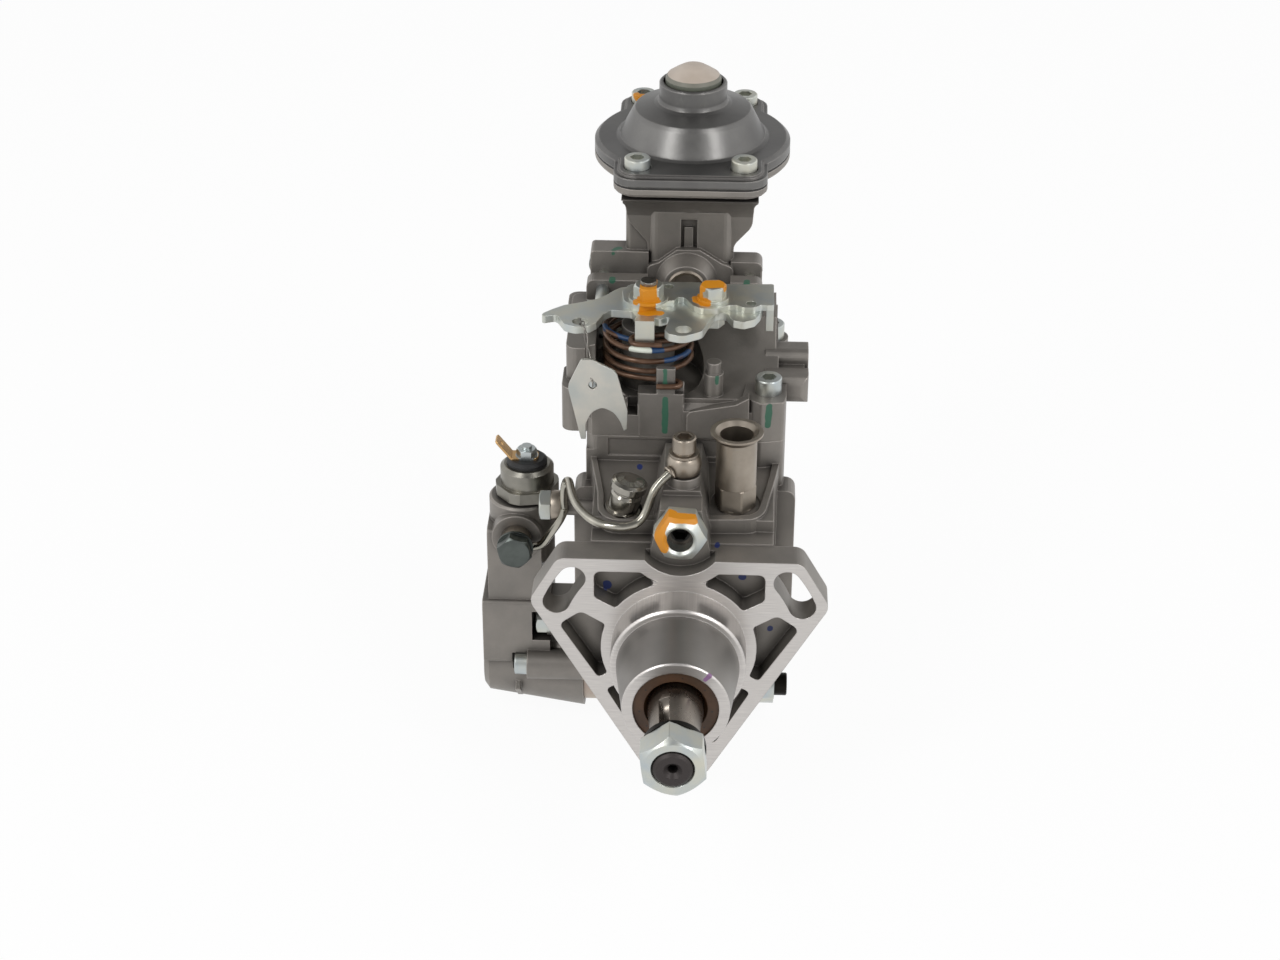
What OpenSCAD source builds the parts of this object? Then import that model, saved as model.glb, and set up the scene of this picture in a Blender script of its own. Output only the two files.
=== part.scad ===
// Distributor type diesel injection pump with boost compensator and cold start unit.
// Origin: where the drive shaft's axis meets the front face of the mounting flange.
// +X is to the right seen from the drive end, +Y to the rear, +Z up. Millimetres.

/* [Drive shaft] */
// Diameter of the shaft journal
shaft_d = 20; // [17:0.5:21]
// Length of the shaft's thread in front of the drive nut
thread_over = 1; // [0.8:0.1:4]
// Diameter of the thread for the drive nut
nut_thread_d = 14; // [12:1:16]
// Width across flats of the drive nut
nut_af = 22; // [21:0.5:26]
// Thickness of the drive nut
nut_h = 11; // [8:0.5:12]
// Thickness of the spring washer behind the nut
nut_washer_t = 2.5; // [1.5:0.25:3]
// Length of the taper that carries the drive gear
taper_len = 20.5; // [18:0.5:22]
// Width of the keyway in the taper
keyway_w = 4; // [3:0.5:5]
// Outer diameter of the shaft bush
bush_d = 24; // [23.5:0.5:26]

/* [Mounting flange] */
// Thickness of the flange
flange_t = 12; // [10:0.5:14]
// Distance from the shaft axis to each straight edge of the flange
flange_in_r = 38; // [37:0.5:41]
// Distance from the shaft axis to each cut-off corner of the flange
flange_out_r = 57.5; // [56.5:0.5:62]
// Radius on which the mounting slots lie
slot_r = 49; // [48:0.5:50]
// Width of a mounting slot
slot_w = 10; // [8:0.5:10.5]
// Angle from the middle of a slot to the centre of its end
slot_half_angle = 6.8; // [5:0.2:7.4]
// Width of the ribs around the flange pockets
flange_rib = 5.3; // [4:0.1:5.6]
// Depth of the flange pockets
pocket_depth = 9; // [6:0.5:9.5]
// Radius of the clearance notch below the governor nut
notch_r = 16; // [14.5:0.5:17]
// Diameter of the centring pilot
pilot_d = 50; // [49:0.5:52]
// Length of the centring pilot
pilot_len = 13; // [11:0.5:15]
// Length of the cast nose in front of the flange
nose_len = 39; // [37:0.5:41]
// Outer diameter of the nose at its front face
nose_d = 39; // [37:0.5:41]
// Outer diameter of the shaft seal
seal_d = 31; // [30:0.5:33]

/* [Pump housing] */
// Distance from the front of the plunger barrel to the rear face of the housing
barrel_seat = 8.7; // [8.2:0.1:12]
// Half width of the housing's front shoulders
housing_half_w = 42; // [41.5:0.25:43]
// Height of the housing's side shoulders
shoulder_z = 39.5; // [38:0.5:41]
// Height of the joint between housing and governor cover
joint_z = 59; // [58.5:0.25:60]
// Front of the governor compartment
compartment_y = 54.5; // [54:0.25:55]
// Half width of the governor compartment's walls
compartment_half_w = 37; // [35:0.5:38]
// Radius of the barrel behind the flange
barrel_r = 36; // [34.5:0.5:37]
// Height of the front deck at the flange
deck_front_z = 44; // [43:0.5:45]
// Height of the front deck at the compartment wall
deck_rear_z = 49.5; // [49:0.25:50]
// Distance from the flange face to the timing piston's axis
timing_y = 69.5; // [69:0.25:71]
// Depth of the timing piston's axis below the shaft
timing_drop = 49.5; // [49:0.5:52]
// Diameter of the timing piston
timing_piston_d = 28; // [26:0.5:29]
// Wall around the timing bore
timing_wall = 4.5; // [4:0.25:5]
// Half length of the timing bore in the housing
timing_half_len = 31.5; // [31:0.5:33]

/* [Governor cover] */
// Height of the cover's front part above the joint
cover_h = 21; // [20:0.5:22]
// Thickness of the cover's joint flange
cover_flange_t = 7; // [6:0.5:9]
// Length of the cover along the pump
cover_len = 77.5; // [76:0.5:80]
// Thread of the cover's socket screws
cover_screw_d = 6; // [5:1:6]

/* [Boost compensator] */
// Distance from the flange face to the compensator's axis
boost_y = 142.3; // [141:0.1:143]
// Height of the diaphragm joint
boost_z = 140; // [138:0.5:143]
// Diameter of the diaphragm housing
boost_d = 76; // [74:0.5:78]
// Diameter of the column below it
column_d = 49; // [46:0.5:50]
// Distance between the cover screws across the pump
boost_screw_dx = 40.4; // [39:0.2:42]
// Distance between the cover screws along the pump
boost_screw_dy = 66; // [65:0.5:67]
// Outer diameter of the dome's neck
neck_d = 26.2; // [25:0.2:27]
// Height of the neck's rim above the diaphragm joint
neck_top = 27.1; // [26.5:0.1:29]
// Stroke of the compensator pin
boost_stroke = 6; // [3:0.5:6.5]

/* [Throttle lever] */
// Place of the lever pivot across the pump
pivot_x = -14.5; // [-15:0.25:-14]
// Place of the lever pivot along the pump
pivot_y = 76; // [75.5:0.25:76.5]
// Height of the lower lever plate's underside
lever_z = 100.8; // [100.5:0.1:102]
// Thickness of the lower lever plate
lever_t = 3; // [2.5:0.1:3.2]
// Thickness of the upper lever plate
upper_lever_t = 2.4; // [2:0.1:2.6]
// Wire of the return spring
spring_wire = 2.1; // [1.6:0.1:2.2]
// Outer diameter of the return spring
spring_d = 35.6; // [34.5:0.1:36]
// Turns of the return spring
spring_turns = 4; // [3:1:4]
// Swing of the lever between its stops, in degrees
lever_swing = 24; // [20:0.5:25]

/* [Cold start unit] */
// Left end of the unit
unit_left = 78.5; // [77.5:0.5:80]
// Diameter of the solenoid can
can_d = 20.6; // [19.5:0.2:21]
// Height of the solenoid can
can_h = 13.7; // [13:0.1:15]
// Top of the boss that carries the solenoid
unit_boss_z = 25.8; // [25:0.2:27]

/* [Fittings] */
// Outer diameter of the fuel inlet tube
inlet_d = 15; // [14:0.25:15.5]
// Height of the fuel inlet above the deck
inlet_h = 30.8; // [29:0.2:32]
// Outer diameter of the fuel pipe
pipe_d = 3.2; // [2.6:0.1:3.4]
// Width across flats of the governor shaft's nut
gov_nut_af = 17; // [17:0.5:18]
// Number of delivery valves
valve_count = 4; // [4:1:6]
// Thread of the delivery valve holders
valve_thread_d = 12; // [10:0.5:14]

/* [Mechanism] */
// Tooth module of the governor drive
tooth_module = 1.5; // [1.49:0.005:1.51]
// Teeth of the gear on the drive shaft
drive_teeth = 38; // [37:1:38]
// Teeth of the governor gear
gov_teeth = 26; // [26:1:27]
// Width of the governor gears
gear_w = 6.5; // [5.5:0.25:6.5]
// Radius of the roller ring
ring_r = 31; // [30.5:0.25:31.25]
// Width of the roller ring
ring_w = 15; // [14:0.25:15]
// Diameter of the rollers
roller_d = 9.2; // [8:0.2:9.4]
// Lift of the cam plate
cam_lift = 2.5; // [2:0.1:2.6]
// Diameter of the distributor plunger
plunger_d = 11; // [9:0.5:12]
// Travel of the timing piston
timing_travel = 8; // [4:0.5:8]

/* [Fits] */
// Radial clearance of running fits
running_fit = 0.04; // [0.02:0.01:0.08]
// Gap between faces that slide past or face each other
face_gap = 0.3; // [0.2:0.05:0.4]

/* [Hidden] */
$fn = 64;

// Helpers: outlines
function dir(a) = [cos(a), sin(a)];
function unit(v) = v / norm(v);
function arc(c, r, from, to, steps) =
    [for (i = [0:steps]) c + r * dir(from + (to - from) * i / steps)];
// Where two lines meet, each given by its normal's angle and its distance from the origin
function meet(t1, a, t2, b) =
    [a * sin(t2) - b * sin(t1), b * cos(t1) - a * cos(t2)] / sin(t2 - t1);
function short_turn(a) = a > 180 ? a - 360 : a < -180 ? a + 360 : a;
// One rounded corner at b between its neighbours a and c
function corner(a, b, c, r, steps) =
    let (u = unit(a - b), v = unit(c - b), half = acos(u * v) / 2)
    r <= 0 || half > 89 ? [b] :
    let (o = b + unit(u + v) * r / sin(half),
         p = b + u * r / tan(half),
         q = b + v * r / tan(half),
         s = atan2(p.y - o.y, p.x - o.x),
         turn = short_turn(atan2(q.y - o.y, q.x - o.x) - s))
    arc(o, r, s, s + turn, steps);
// A closed outline with its corners rounded, each by its own radius or all by one
function rounded(pts, r, steps = 5) =
    let (n = len(pts))
    [for (i = [0:n - 1])
        each corner(pts[(i + n - 1) % n], pts[i], pts[(i + 1) % n], is_list(r) ? r[i] : r, steps)];
function block(w, h) = [[-w / 2, -h / 2], [w / 2, -h / 2], [w / 2, h / 2], [-w / 2, h / 2]];
function span(x0, x1, y0, y1) = [[x0, y0], [x1, y0], [x1, y1], [x0, y1]];

// Helpers: solids
module turned_y() rotate([-90, 0, 0]) rotate_extrude() children();
module turned_z() rotate_extrude() children();
// An outline drawn in X and Z, from y0 to y1
module xz_plate(y0, y1) translate([0, y1, 0]) rotate([90, 0, 0]) linear_extrude(y1 - y0) children();
// An outline drawn in Y and Z, from x0 to x1
module yz_plate(x0, x1) translate([x0, 0, 0]) rotate([90, 0, 90]) linear_extrude(x1 - x0) children();
// An outline drawn in X and Y, from z0 to z1
module xy_plate(z0, z1) translate([0, 0, z0]) linear_extrude(z1 - z0) children();
module rod_x(r, x0, x1) translate([x0, 0, 0]) rotate([0, 90, 0]) cylinder(r = r, h = x1 - x0);
module rod_y(r, y0, y1) translate([0, y0, 0]) rotate([-90, 0, 0]) cylinder(r = r, h = y1 - y0);
module rod_z(r, z0, z1) translate([0, 0, z0]) cylinder(r = r, h = z1 - z0);
module box(x0, x1, y0, y1, z0, z1) translate([x0, y0, z0]) cube([x1 - x0, y1 - y0, z1 - z0]);
module mirrored_x() { children(); mirror([1, 0, 0]) children(); }
// Hexagon prism along Z with its corners turned down at the top
module hex_head(af, h, chamfer = 0.7) intersection() {
    cylinder(d = af / cos(30), h = h, $fn = 6);
    cylinder(r1 = af / cos(30) / 2 + h, r2 = af / 2 - chamfer * 0.2, h = h);
    cylinder(r = af / cos(30) / 2 - 0.05, h = h);
}
// Socket head screw along Z: the head stands on z = 0, the shank reaches down
module socket_screw(d, shank, head_d, head_h) difference() {
    union() {
        cylinder(d = head_d, h = head_h - 0.4);
        translate([0, 0, head_h - 0.4]) cylinder(d1 = head_d, d2 = head_d - 0.8, h = 0.4);
        translate([0, 0, -shank]) cylinder(d = d, h = shank + 0.1);
    }
    translate([0, 0, head_h * 0.45]) cylinder(d = d * 0.96, h = head_h, $fn = 6);
}
// A tube through a list of points, each ring square to the path and not twisted from the last
function ring_at(p, t, side, r, sides) =
    let (up = cross(t, side))
    [for (k = [0:sides - 1]) p + r * (cos(360 * k / sides) * side + sin(360 * k / sides) * up)];
function tangent(path, i) =
    unit(path[min(i + 1, len(path) - 1)] - path[max(i - 1, 0)]);
function square_to(side, t) = unit(side - (side * t) * t);
function first_side(t) = square_to(abs(t.z) > 0.9 ? [1, 0, 0] : [0, 0, 1], t);
module swept_tube(path, r, sides = 10) {
    n = len(path);
    side = [for (i = 0, s = first_side(tangent(path, 0)); i < n;
        i = i + 1, s = square_to(s, tangent(path, min(i, n - 1)))) s];
    pts = [for (i = [0:n - 1]) each ring_at(path[i], tangent(path, i), side[i], r, sides)];
    walls = [for (i = [0:n - 2]) for (k = [0:sides - 1])
        let (a = i * sides + k, b = i * sides + (k + 1) % sides) each
        [[a, a + sides, b], [b, a + sides, b + sides]]];
    caps = [[for (k = [0:sides - 1]) k], [for (k = [sides - 1:-1:0]) (n - 1) * sides + k]];
    polyhedron(pts, concat(walls, caps));
}
// Points between the corners of a route, rounded by cutting each corner twice
function cut_corners(p) = [
    p[0],
    for (i = [0:len(p) - 2]) each [p[i] * 0.75 + p[i + 1] * 0.25, p[i] * 0.25 + p[i + 1] * 0.75],
    p[len(p) - 1],
];

// Drive shaft, derived
shaft_r = shaft_d / 2;
taper_start = -nose_len - 2;
taper_end = taper_start - taper_len;
taper_end_r = shaft_r - taper_len / 10;
nut_back = taper_end - nut_washer_t;
nut_front = nut_back - nut_h;
shaft_reach = thread_over - nut_front;
bush_r = bush_d / 2;
seal_front = -nose_len + 0.8;
seal_t = 7;

// Flange, derived
notch_z = flange_in_r + 9.6;
hub_rib_r = pilot_d / 2 + 3.8;
rim_in = flange_in_r - flange_rib;
flange_outline = rounded([for (v = [30, 150, 270]) each
    [meet(v - 60, flange_in_r, v, flange_out_r), meet(v, flange_out_r, v + 60, flange_in_r)]], 5);

// Governor gears and their axis
gov_z = tooth_module * (drive_teeth + gov_teeth) / 2;
vane_y = flange_t + 8;
vane_end = vane_y + 20;
vane_ring_r = 30;
vane_bore_r = 20.5;
vane_offset = 1.6;
rotor_r = vane_bore_r - vane_offset - face_gap;
gear_y = compartment_y + 2.8;
gear_end = gear_y + gear_w;
cage_end = gear_end + 20;
ring_y = gear_end + 1.5;
ring_end = ring_y + ring_w;
roller_y = ring_end - 1.4;
cam_y = roller_y + roller_d / 2 + face_gap;
cam_end = cam_y + 9.5;
foot_end = cam_end + 3;
seat_end = foot_end + 2;
collar_y = seat_end + 7;
collar_w = 9;
barrel_y = collar_y + collar_w + 3;
housing_len = barrel_y + barrel_seat;
plunger_r = plunger_d / 2;
plug_y = housing_len + 30;
plunger_end = plug_y - cam_lift - 0.5;
solenoid_y = housing_len + 22;
sleeve_y = cage_end + face_gap;
sleeve_end = sleeve_y + 10.8;
bore_r = ring_r + running_fit;
timing_z = -timing_drop;
timing_r = timing_piston_d / 2;
pin_r = 3.5;

// Governor lever, derived: it turns about a pin across the compartment
lever_pin_y = sleeve_end + 7.4;
lever_pin_z = gov_z - 14;
compartment_in = 22;

// Cover, boost column and lever heights
cover_top = joint_z + cover_h;
cover_y = compartment_y;
cover_end = cover_y + cover_len;
plate_top = lever_z + lever_t;
upper_top = plate_top + upper_lever_t;
stop_z = lever_z - 5.3;
ear_y = 104;
well_r = 21.2;
well_z = joint_z + 13;
sweep_at = [0, cover_y + 5.5, cover_top + 34];
lid_t = 4.6;
diaphragm_t = 0.8;
boost_base_z = boost_z - diaphragm_t / 2;
boost_lid_z = boost_z + diaphragm_t / 2;
neck_in_r = neck_d / 2 - 1.5;

// Deck: its height at a distance from the flange face
function deck_z(y) = deck_front_z
    + (deck_rear_z - deck_front_z) * (y - flange_t) / (compartment_y - flange_t);
gear_cavity_r = tooth_module * (gov_teeth + 2) / 2 + 0.8;
inlet_at = [19.7, 30.2];
inlet_z = deck_z(inlet_at.y) - 1.4;
banjo_at = [0.6, 24.6];
banjo_z = gov_z + 13;
valve_at = [-22, 25];
valve_lean = 13;

// Outline of the pad under the right front screw
screw_pad = rounded([[21.5, compartment_y + 3], [28.4, compartment_y - 2.7], [compartment_half_w + 0.2, compartment_y - 1],
    [compartment_half_w + 1, compartment_y + 4], [compartment_half_w + 1, compartment_y + 14],
    [23, compartment_y + 14]], [1, 1.5, 1.5, 1, 0, 0]);

// Cold start unit, derived
unit_right = timing_half_len + 7;
unit_r = 21;
can_at = [-60.6, 67];
boss_at = [-62.8, 66.6];
boss_r = 12.6;
lower_banjo_at = [-63.9, 14.2];
unit_front = 52;
side_banjo_at = [50.5, 30.3];
gov_shaft_r = 4;
pad_z = joint_z + 16.3;

// Flange

module upper_pocket() {
    edge_x = flange_in_r - 6.8;
    spoke = [edge_x, (3 + edge_x * sin(30)) / cos(30)];
    hub_end = sqrt(hub_rib_r ^ 2 - 9) * dir(30) + 3 * dir(120);
    rib_r = notch_r + 4.5;
    cross_z = (hub_rib_r ^ 2 - rib_r ^ 2 + notch_z ^ 2) / (2 * notch_z);
    cross_at = [sqrt(hub_rib_r ^ 2 - cross_z ^ 2), cross_z];
    rib_x = sqrt(rib_r ^ 2 - (notch_z - rim_in) ^ 2);
    a0 = atan2(hub_end.y, hub_end.x);
    a1 = atan2(cross_at.y, cross_at.x);
    b0 = atan2(cross_z - notch_z, cross_at.x);
    b1 = atan2(rim_in - notch_z, rib_x);
    hub_arc = arc([0, 0], hub_rib_r, a0 + 3, a1 - 3, 6);
    rib_arc = arc([0, notch_z], rib_r, b0 + 3, b1 - 3, 3);
    pts = concat([[edge_x, rim_in], spoke, hub_end], hub_arc, [cross_at], rib_arc, [[rib_x, rim_in]]);
    radii = [2.5, 2.5, 1.6, each [for (p = hub_arc) 0], 1.3, each [for (p = rib_arc) 0], 2];
    polygon(rounded(pts, radii, 4));
}

// Pocket between a slot's spoke and the rib half way to the next slot
module side_pocket() {
    slot_end = slot_r * dir(30 - slot_half_angle);
    wall_r = slot_w / 2 + flange_rib - 0.5;
    spoke_end = sqrt(hub_rib_r ^ 2 - 25) * dir(30) + 5 * dir(-60);
    rib_end = sqrt(hub_rib_r ^ 2 - 9) * dir(-30) + 3 * dir(60);
    a0 = atan2(rib_end.y, rib_end.x);
    a1 = atan2(spoke_end.y, spoke_end.x);
    hub_arc = arc([0, 0], hub_rib_r, a1 - 3, a0 + 3, 6);
    pts = concat([slot_end + wall_r * dir(265), slot_end + wall_r * dir(204), spoke_end], hub_arc,
        [rib_end, rim_in * dir(-30) + 3 * dir(60)]);
    radii = [2.5, 3, 1.6, each [for (p = hub_arc) 0], 1.3, 1.6];
    polygon(rounded(pts, radii, 4));
}

module flange_slot(y0, y1) {
    difference() {
        rod_y(slot_r + slot_w / 2, y0, y1);
        rod_y(slot_r - slot_w / 2, y0 - 1, y1 + 1);
        for (side = [-1, 1]) rotate([0, -side * slot_half_angle, 0])
            box(side > 0 ? -99 : 0, side > 0 ? 0 : 99, y0 - 1, y1 + 1, -99, 99);
        box(-99, 99, y0 - 1, y1 + 1, -99, 0);
    }
    for (a = [-slot_half_angle, slot_half_angle])
        rotate([0, a, 0]) translate([0, 0, slot_r]) rod_y(slot_w / 2, y0, y1);
}

module flange() difference() {
    xz_plate(0, flange_t) polygon(flange_outline);
    xz_plate(-1, pocket_depth) {
        mirrored_x() upper_pocket();
        mirrored_x() side_pocket();
        mirrored_x() rotate(-30) mirror([0, 1]) rotate(30) side_pocket();
    }
    for (a = [60, -60, 180]) rotate([0, a, 0]) flange_slot(-1, flange_t + 1);
    translate([0, 0, notch_z]) rod_y(notch_r, -1, flange_t - 4);
}

module nose() turned_y() polygon([
    [0, -nose_len], [nose_d / 2 - 0.5, -nose_len], [nose_d / 2, -nose_len + 0.5],
    [pilot_d / 2 - 2.5, -pilot_len - 1.5], [pilot_d / 2 - 2.5, -pilot_len],
    [pilot_d / 2 - 0.8, -pilot_len], [pilot_d / 2, -pilot_len + 0.8],
    [pilot_d / 2, flange_t], [0, flange_t],
]);

// Housing

module housing_body() {
    rod_y(barrel_r, flange_t - 1, compartment_y + 1);
    // Deck, a platform that rises towards the compartment wall
    difference() {
        intersection() {
            yz_plate(-99, 99) polygon([[flange_t, 0], [compartment_y + 2, 0], [compartment_y + 2, deck_rear_z],
                [compartment_y, deck_rear_z], [flange_t, deck_front_z]]);
            xy_plate(-1, joint_z) polygon(rounded([[-35.5, compartment_y + 2], [-31.6, 34], [-30.6, 16.5],
                [30, 19], [34.6, 44], [36.5, compartment_y + 2]], [0, 12, 8, 8, 12, 0]));
        }
        xy_plate(deck_front_z - 3, joint_z) difference() {
            polygon(rounded([[-33, compartment_y], [-29.4, 33], [-28.4, 19.2], [27.8, 21.6],
                [32.4, 45], [33.6, compartment_y]], [0, 10, 6, 6, 10, 0]));
            square(0.1);
        }
    }
    yz_plate(-33, 34) polygon([[flange_t, 0], [compartment_y + 2, 0], [compartment_y + 2, deck_rear_z - 1.2],
        [compartment_y, deck_rear_z - 1.2], [20, deck_z(20) - 1.2], [20, 39], [flange_t, 38.5]]);
    // Shoulders, and the narrower body behind them
    xz_plate(compartment_y - 5, compartment_y + 6) polygon(rounded(
        [[-housing_half_w + 0.6, -16], [-30, -29], [30, -29], [housing_half_w + 0.5, -16],
         [housing_half_w + 0.5, shoulder_z], [-housing_half_w + 0.6, shoulder_z]], [8, 4, 4, 8, 4, 4]));
    xz_plate(compartment_y, housing_len) polygon(rounded(
        [[-compartment_half_w, -24], [-31, -30.3], [-27, -37], [27, -37], [31, -30.3], [compartment_half_w, -24],
         [compartment_half_w, joint_z - 6], [-compartment_half_w, joint_z - 6]], [4, 2, 4, 4, 2, 4, 0, 0]));
    xy_plate(shoulder_z - 6, joint_z) polygon(rounded(
        span(-compartment_half_w, compartment_half_w + 1, compartment_y, housing_len), [4, 4, 6, 6]));
    // Corner boss under the cover's right front screw
    xy_plate(shoulder_z, joint_z) {
        polygon(screw_pad);
    }
    // Rear face for the distributor head
    xz_plate(housing_len - 14, housing_len) polygon(rounded(block(74, 74), 15));
    // Ridge over the governor shaft, with the pad of the banjo bolt
    xz_plate(flange_t - 5, 18.4)
        polygon([[-10.9, 30], [10.9, 30], [10.9, gov_z - 10], [7.6, gov_z + 7], [-7.6, gov_z + 7], [-10.9, gov_z - 10]]);
    xz_plate(18, compartment_y + 1)
        polygon([[-10.9, 30], [10.9, 30], [10.9, gov_z - 6], [6.9, gov_z + 9], [-6.9, gov_z + 9], [-10.9, gov_z - 6]]);
    translate(banjo_at) rod_z(6.3, gov_z, banjo_z);
    box(banjo_at.x - 6.3, banjo_at.x + 6.3, banjo_at.y, banjo_at.y + 9, gov_z, banjo_z - 1.5);
    // Seat of the side banjo fitting
    translate([0, side_banjo_at.x, side_banjo_at.y]) rod_x(3.7, -housing_half_w - 4.2, -housing_half_w + 12);
}

module timing_housing() {
    translate([0, timing_y, timing_z])
        rod_x(timing_r + timing_wall, -timing_half_len, timing_half_len);
    yz_plate(-timing_half_len + 3, timing_half_len - 3) polygon([
        [compartment_y - 2, -20], [compartment_y - 2, -33], [timing_y - timing_r - 3, timing_z],
        [timing_y + timing_r + 3, timing_z], [timing_y + timing_r + 10, -34], [timing_y + 22, -20]]);
    // Screw lugs at both ends of the bore
    for (y = [-1, 1]) {
        translate([0, timing_y + y * 19, timing_z]) rod_x(6, timing_half_len - 14, timing_half_len);
        translate([0, timing_y + y * 19, timing_z + 6.7]) rod_x(6, -timing_half_len, -timing_half_len + 14);
        box(timing_half_len - 14, timing_half_len, timing_y + y * 16 - 3, timing_y + y * 16 + 3,
            timing_z - 6, timing_z + 12);
        box(-timing_half_len, -timing_half_len + 14, timing_y + y * 16 - 3, timing_y + y * 16 + 3,
            timing_z, timing_z + 16);
    }
}

module housing_bores() {
    rod_y(bush_r, -nose_len - 1, vane_y + 1);
    rod_y(seal_d / 2, -nose_len - 1, seal_front + seal_t);
    rod_y(vane_ring_r, vane_y, vane_end);
    rod_y(bore_r, vane_end - 0.01, housing_len + 1);
    // Governor shaft, its gear and cage, and the compartment
    translate([0, 0, gov_z]) rod_y(6, flange_t - 6, 16);
    translate([0, 0, gov_z]) rod_y(gov_shaft_r, 15, gear_y);
    translate([0, 0, gov_z]) rod_y(gear_cavity_r, gear_y - 0.6, cage_end);
    box(-compartment_in, compartment_in, gear_end, 118, 10, joint_z + 1);
    // Timing bore and the slot for the ring's pin
    translate([0, timing_y, timing_z])
        rod_x(timing_r + running_fit, -timing_half_len - 1, timing_half_len + 1);
    box(-timing_travel - 5.5, 5.5, timing_y - 5, timing_y + 5, timing_z, -bore_r + 2);
    // Seats and passages of the deck fittings
    translate(inlet_at) rod_z(9.2, inlet_z, 70);
    translate(inlet_at) rod_z(7, inlet_z - 12, 60);
    translate(inlet_at) rod_z(5, 20, 60);
    translate(banjo_at) rod_z(3, banjo_z - 7, banjo_z + 1);
    pressure_valve_place() rod_z(7.2, 0, 20);
    pressure_valve_place() rod_z(5.8, -7, 20);
    pressure_valve_place() rod_z(3, -15, 1);
    translate([0, side_banjo_at.x, side_banjo_at.y]) rod_x(2.4, -housing_half_w - 5, -housing_half_w + 9);
    // Shallow bare band across the front wall
    box(-28.6, 20, compartment_y - 1, compartment_y + 0.5, joint_z - 8.4, joint_z - 1.2);
    // Screw holes
    cover_screw_places(joint_z) rod_z(cover_screw_d / 2, -16, 1);
    head_screw_places() rod_y(3, housing_len - 13, housing_len + 1);
    timing_screw_places() rod_x(2.5, timing_half_len - 10, timing_half_len + 1);
    unit_screw_places() rod_x(2.5, -timing_half_len - 1, -timing_half_len + 10);
}

module pressure_valve_place() translate([valve_at.x, valve_at.y, deck_z(valve_at.y) - 1.6])
    rotate([0, valve_lean, 0]) children();
module cover_screw_places(z) for (p = [[-32.4, 61.2], [31.2, 62.5], [-30, 98], [32.8, 119.5]])
    translate([p.x, p.y, z]) children();
module head_screw_places() for (x = [-1, 1]) for (z = [-1, 1]) translate([x * 29, 0, z * 29]) children();
module timing_screw_places() for (y = [-1, 1])
    translate([0, timing_y + y * 19, timing_z]) children();
module unit_screw_places() for (y = [-1, 1])
    translate([0, timing_y + y * 19, timing_z + 6.7]) children();

module pump_housing() color("darkgray") difference() {
    union() {
        nose();
        flange();
        housing_body();
        timing_housing();
    }
    housing_bores();
}

module drive_bush() color("goldenrod") turned_y() polygon([
    [shaft_r + running_fit, -28], [bush_r, -28], [bush_r, vane_y], [shaft_r + running_fit, vane_y]]);

module shaft_seal() color("saddlebrown") turned_y() polygon([
    [shaft_r + 0.06, seal_front + 3], [shaft_r + 1.4, seal_front + 1.2], [shaft_r + 1.4, seal_front],
    [seal_d / 2, seal_front], [seal_d / 2, seal_front + seal_t],
    [seal_d / 2 - 1.5, seal_front + seal_t], [seal_d / 2 - 1.5, seal_front + 2.2],
    [shaft_r + 1.6, seal_front + 2.2], [shaft_r + 0.06, seal_front + 3.6]]);

module vane_ring() color("slategray") {
    difference() {
        rod_y(vane_ring_r, vane_y, vane_end - 4);
        translate([vane_offset, 0, 0]) rod_y(vane_bore_r, vane_y - 1, vane_end);
    }
    difference() {
        rod_y(vane_ring_r, vane_end - 4, vane_end);
        rod_y(shaft_r + 1, vane_end - 5, vane_end + 1);
        for (x = [-1, 1]) translate([x * 15, 0, 0]) rod_y(2, vane_end - 5, vane_end + 1);
    }
}

// Governor cover with the column of the boost compensator

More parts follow.
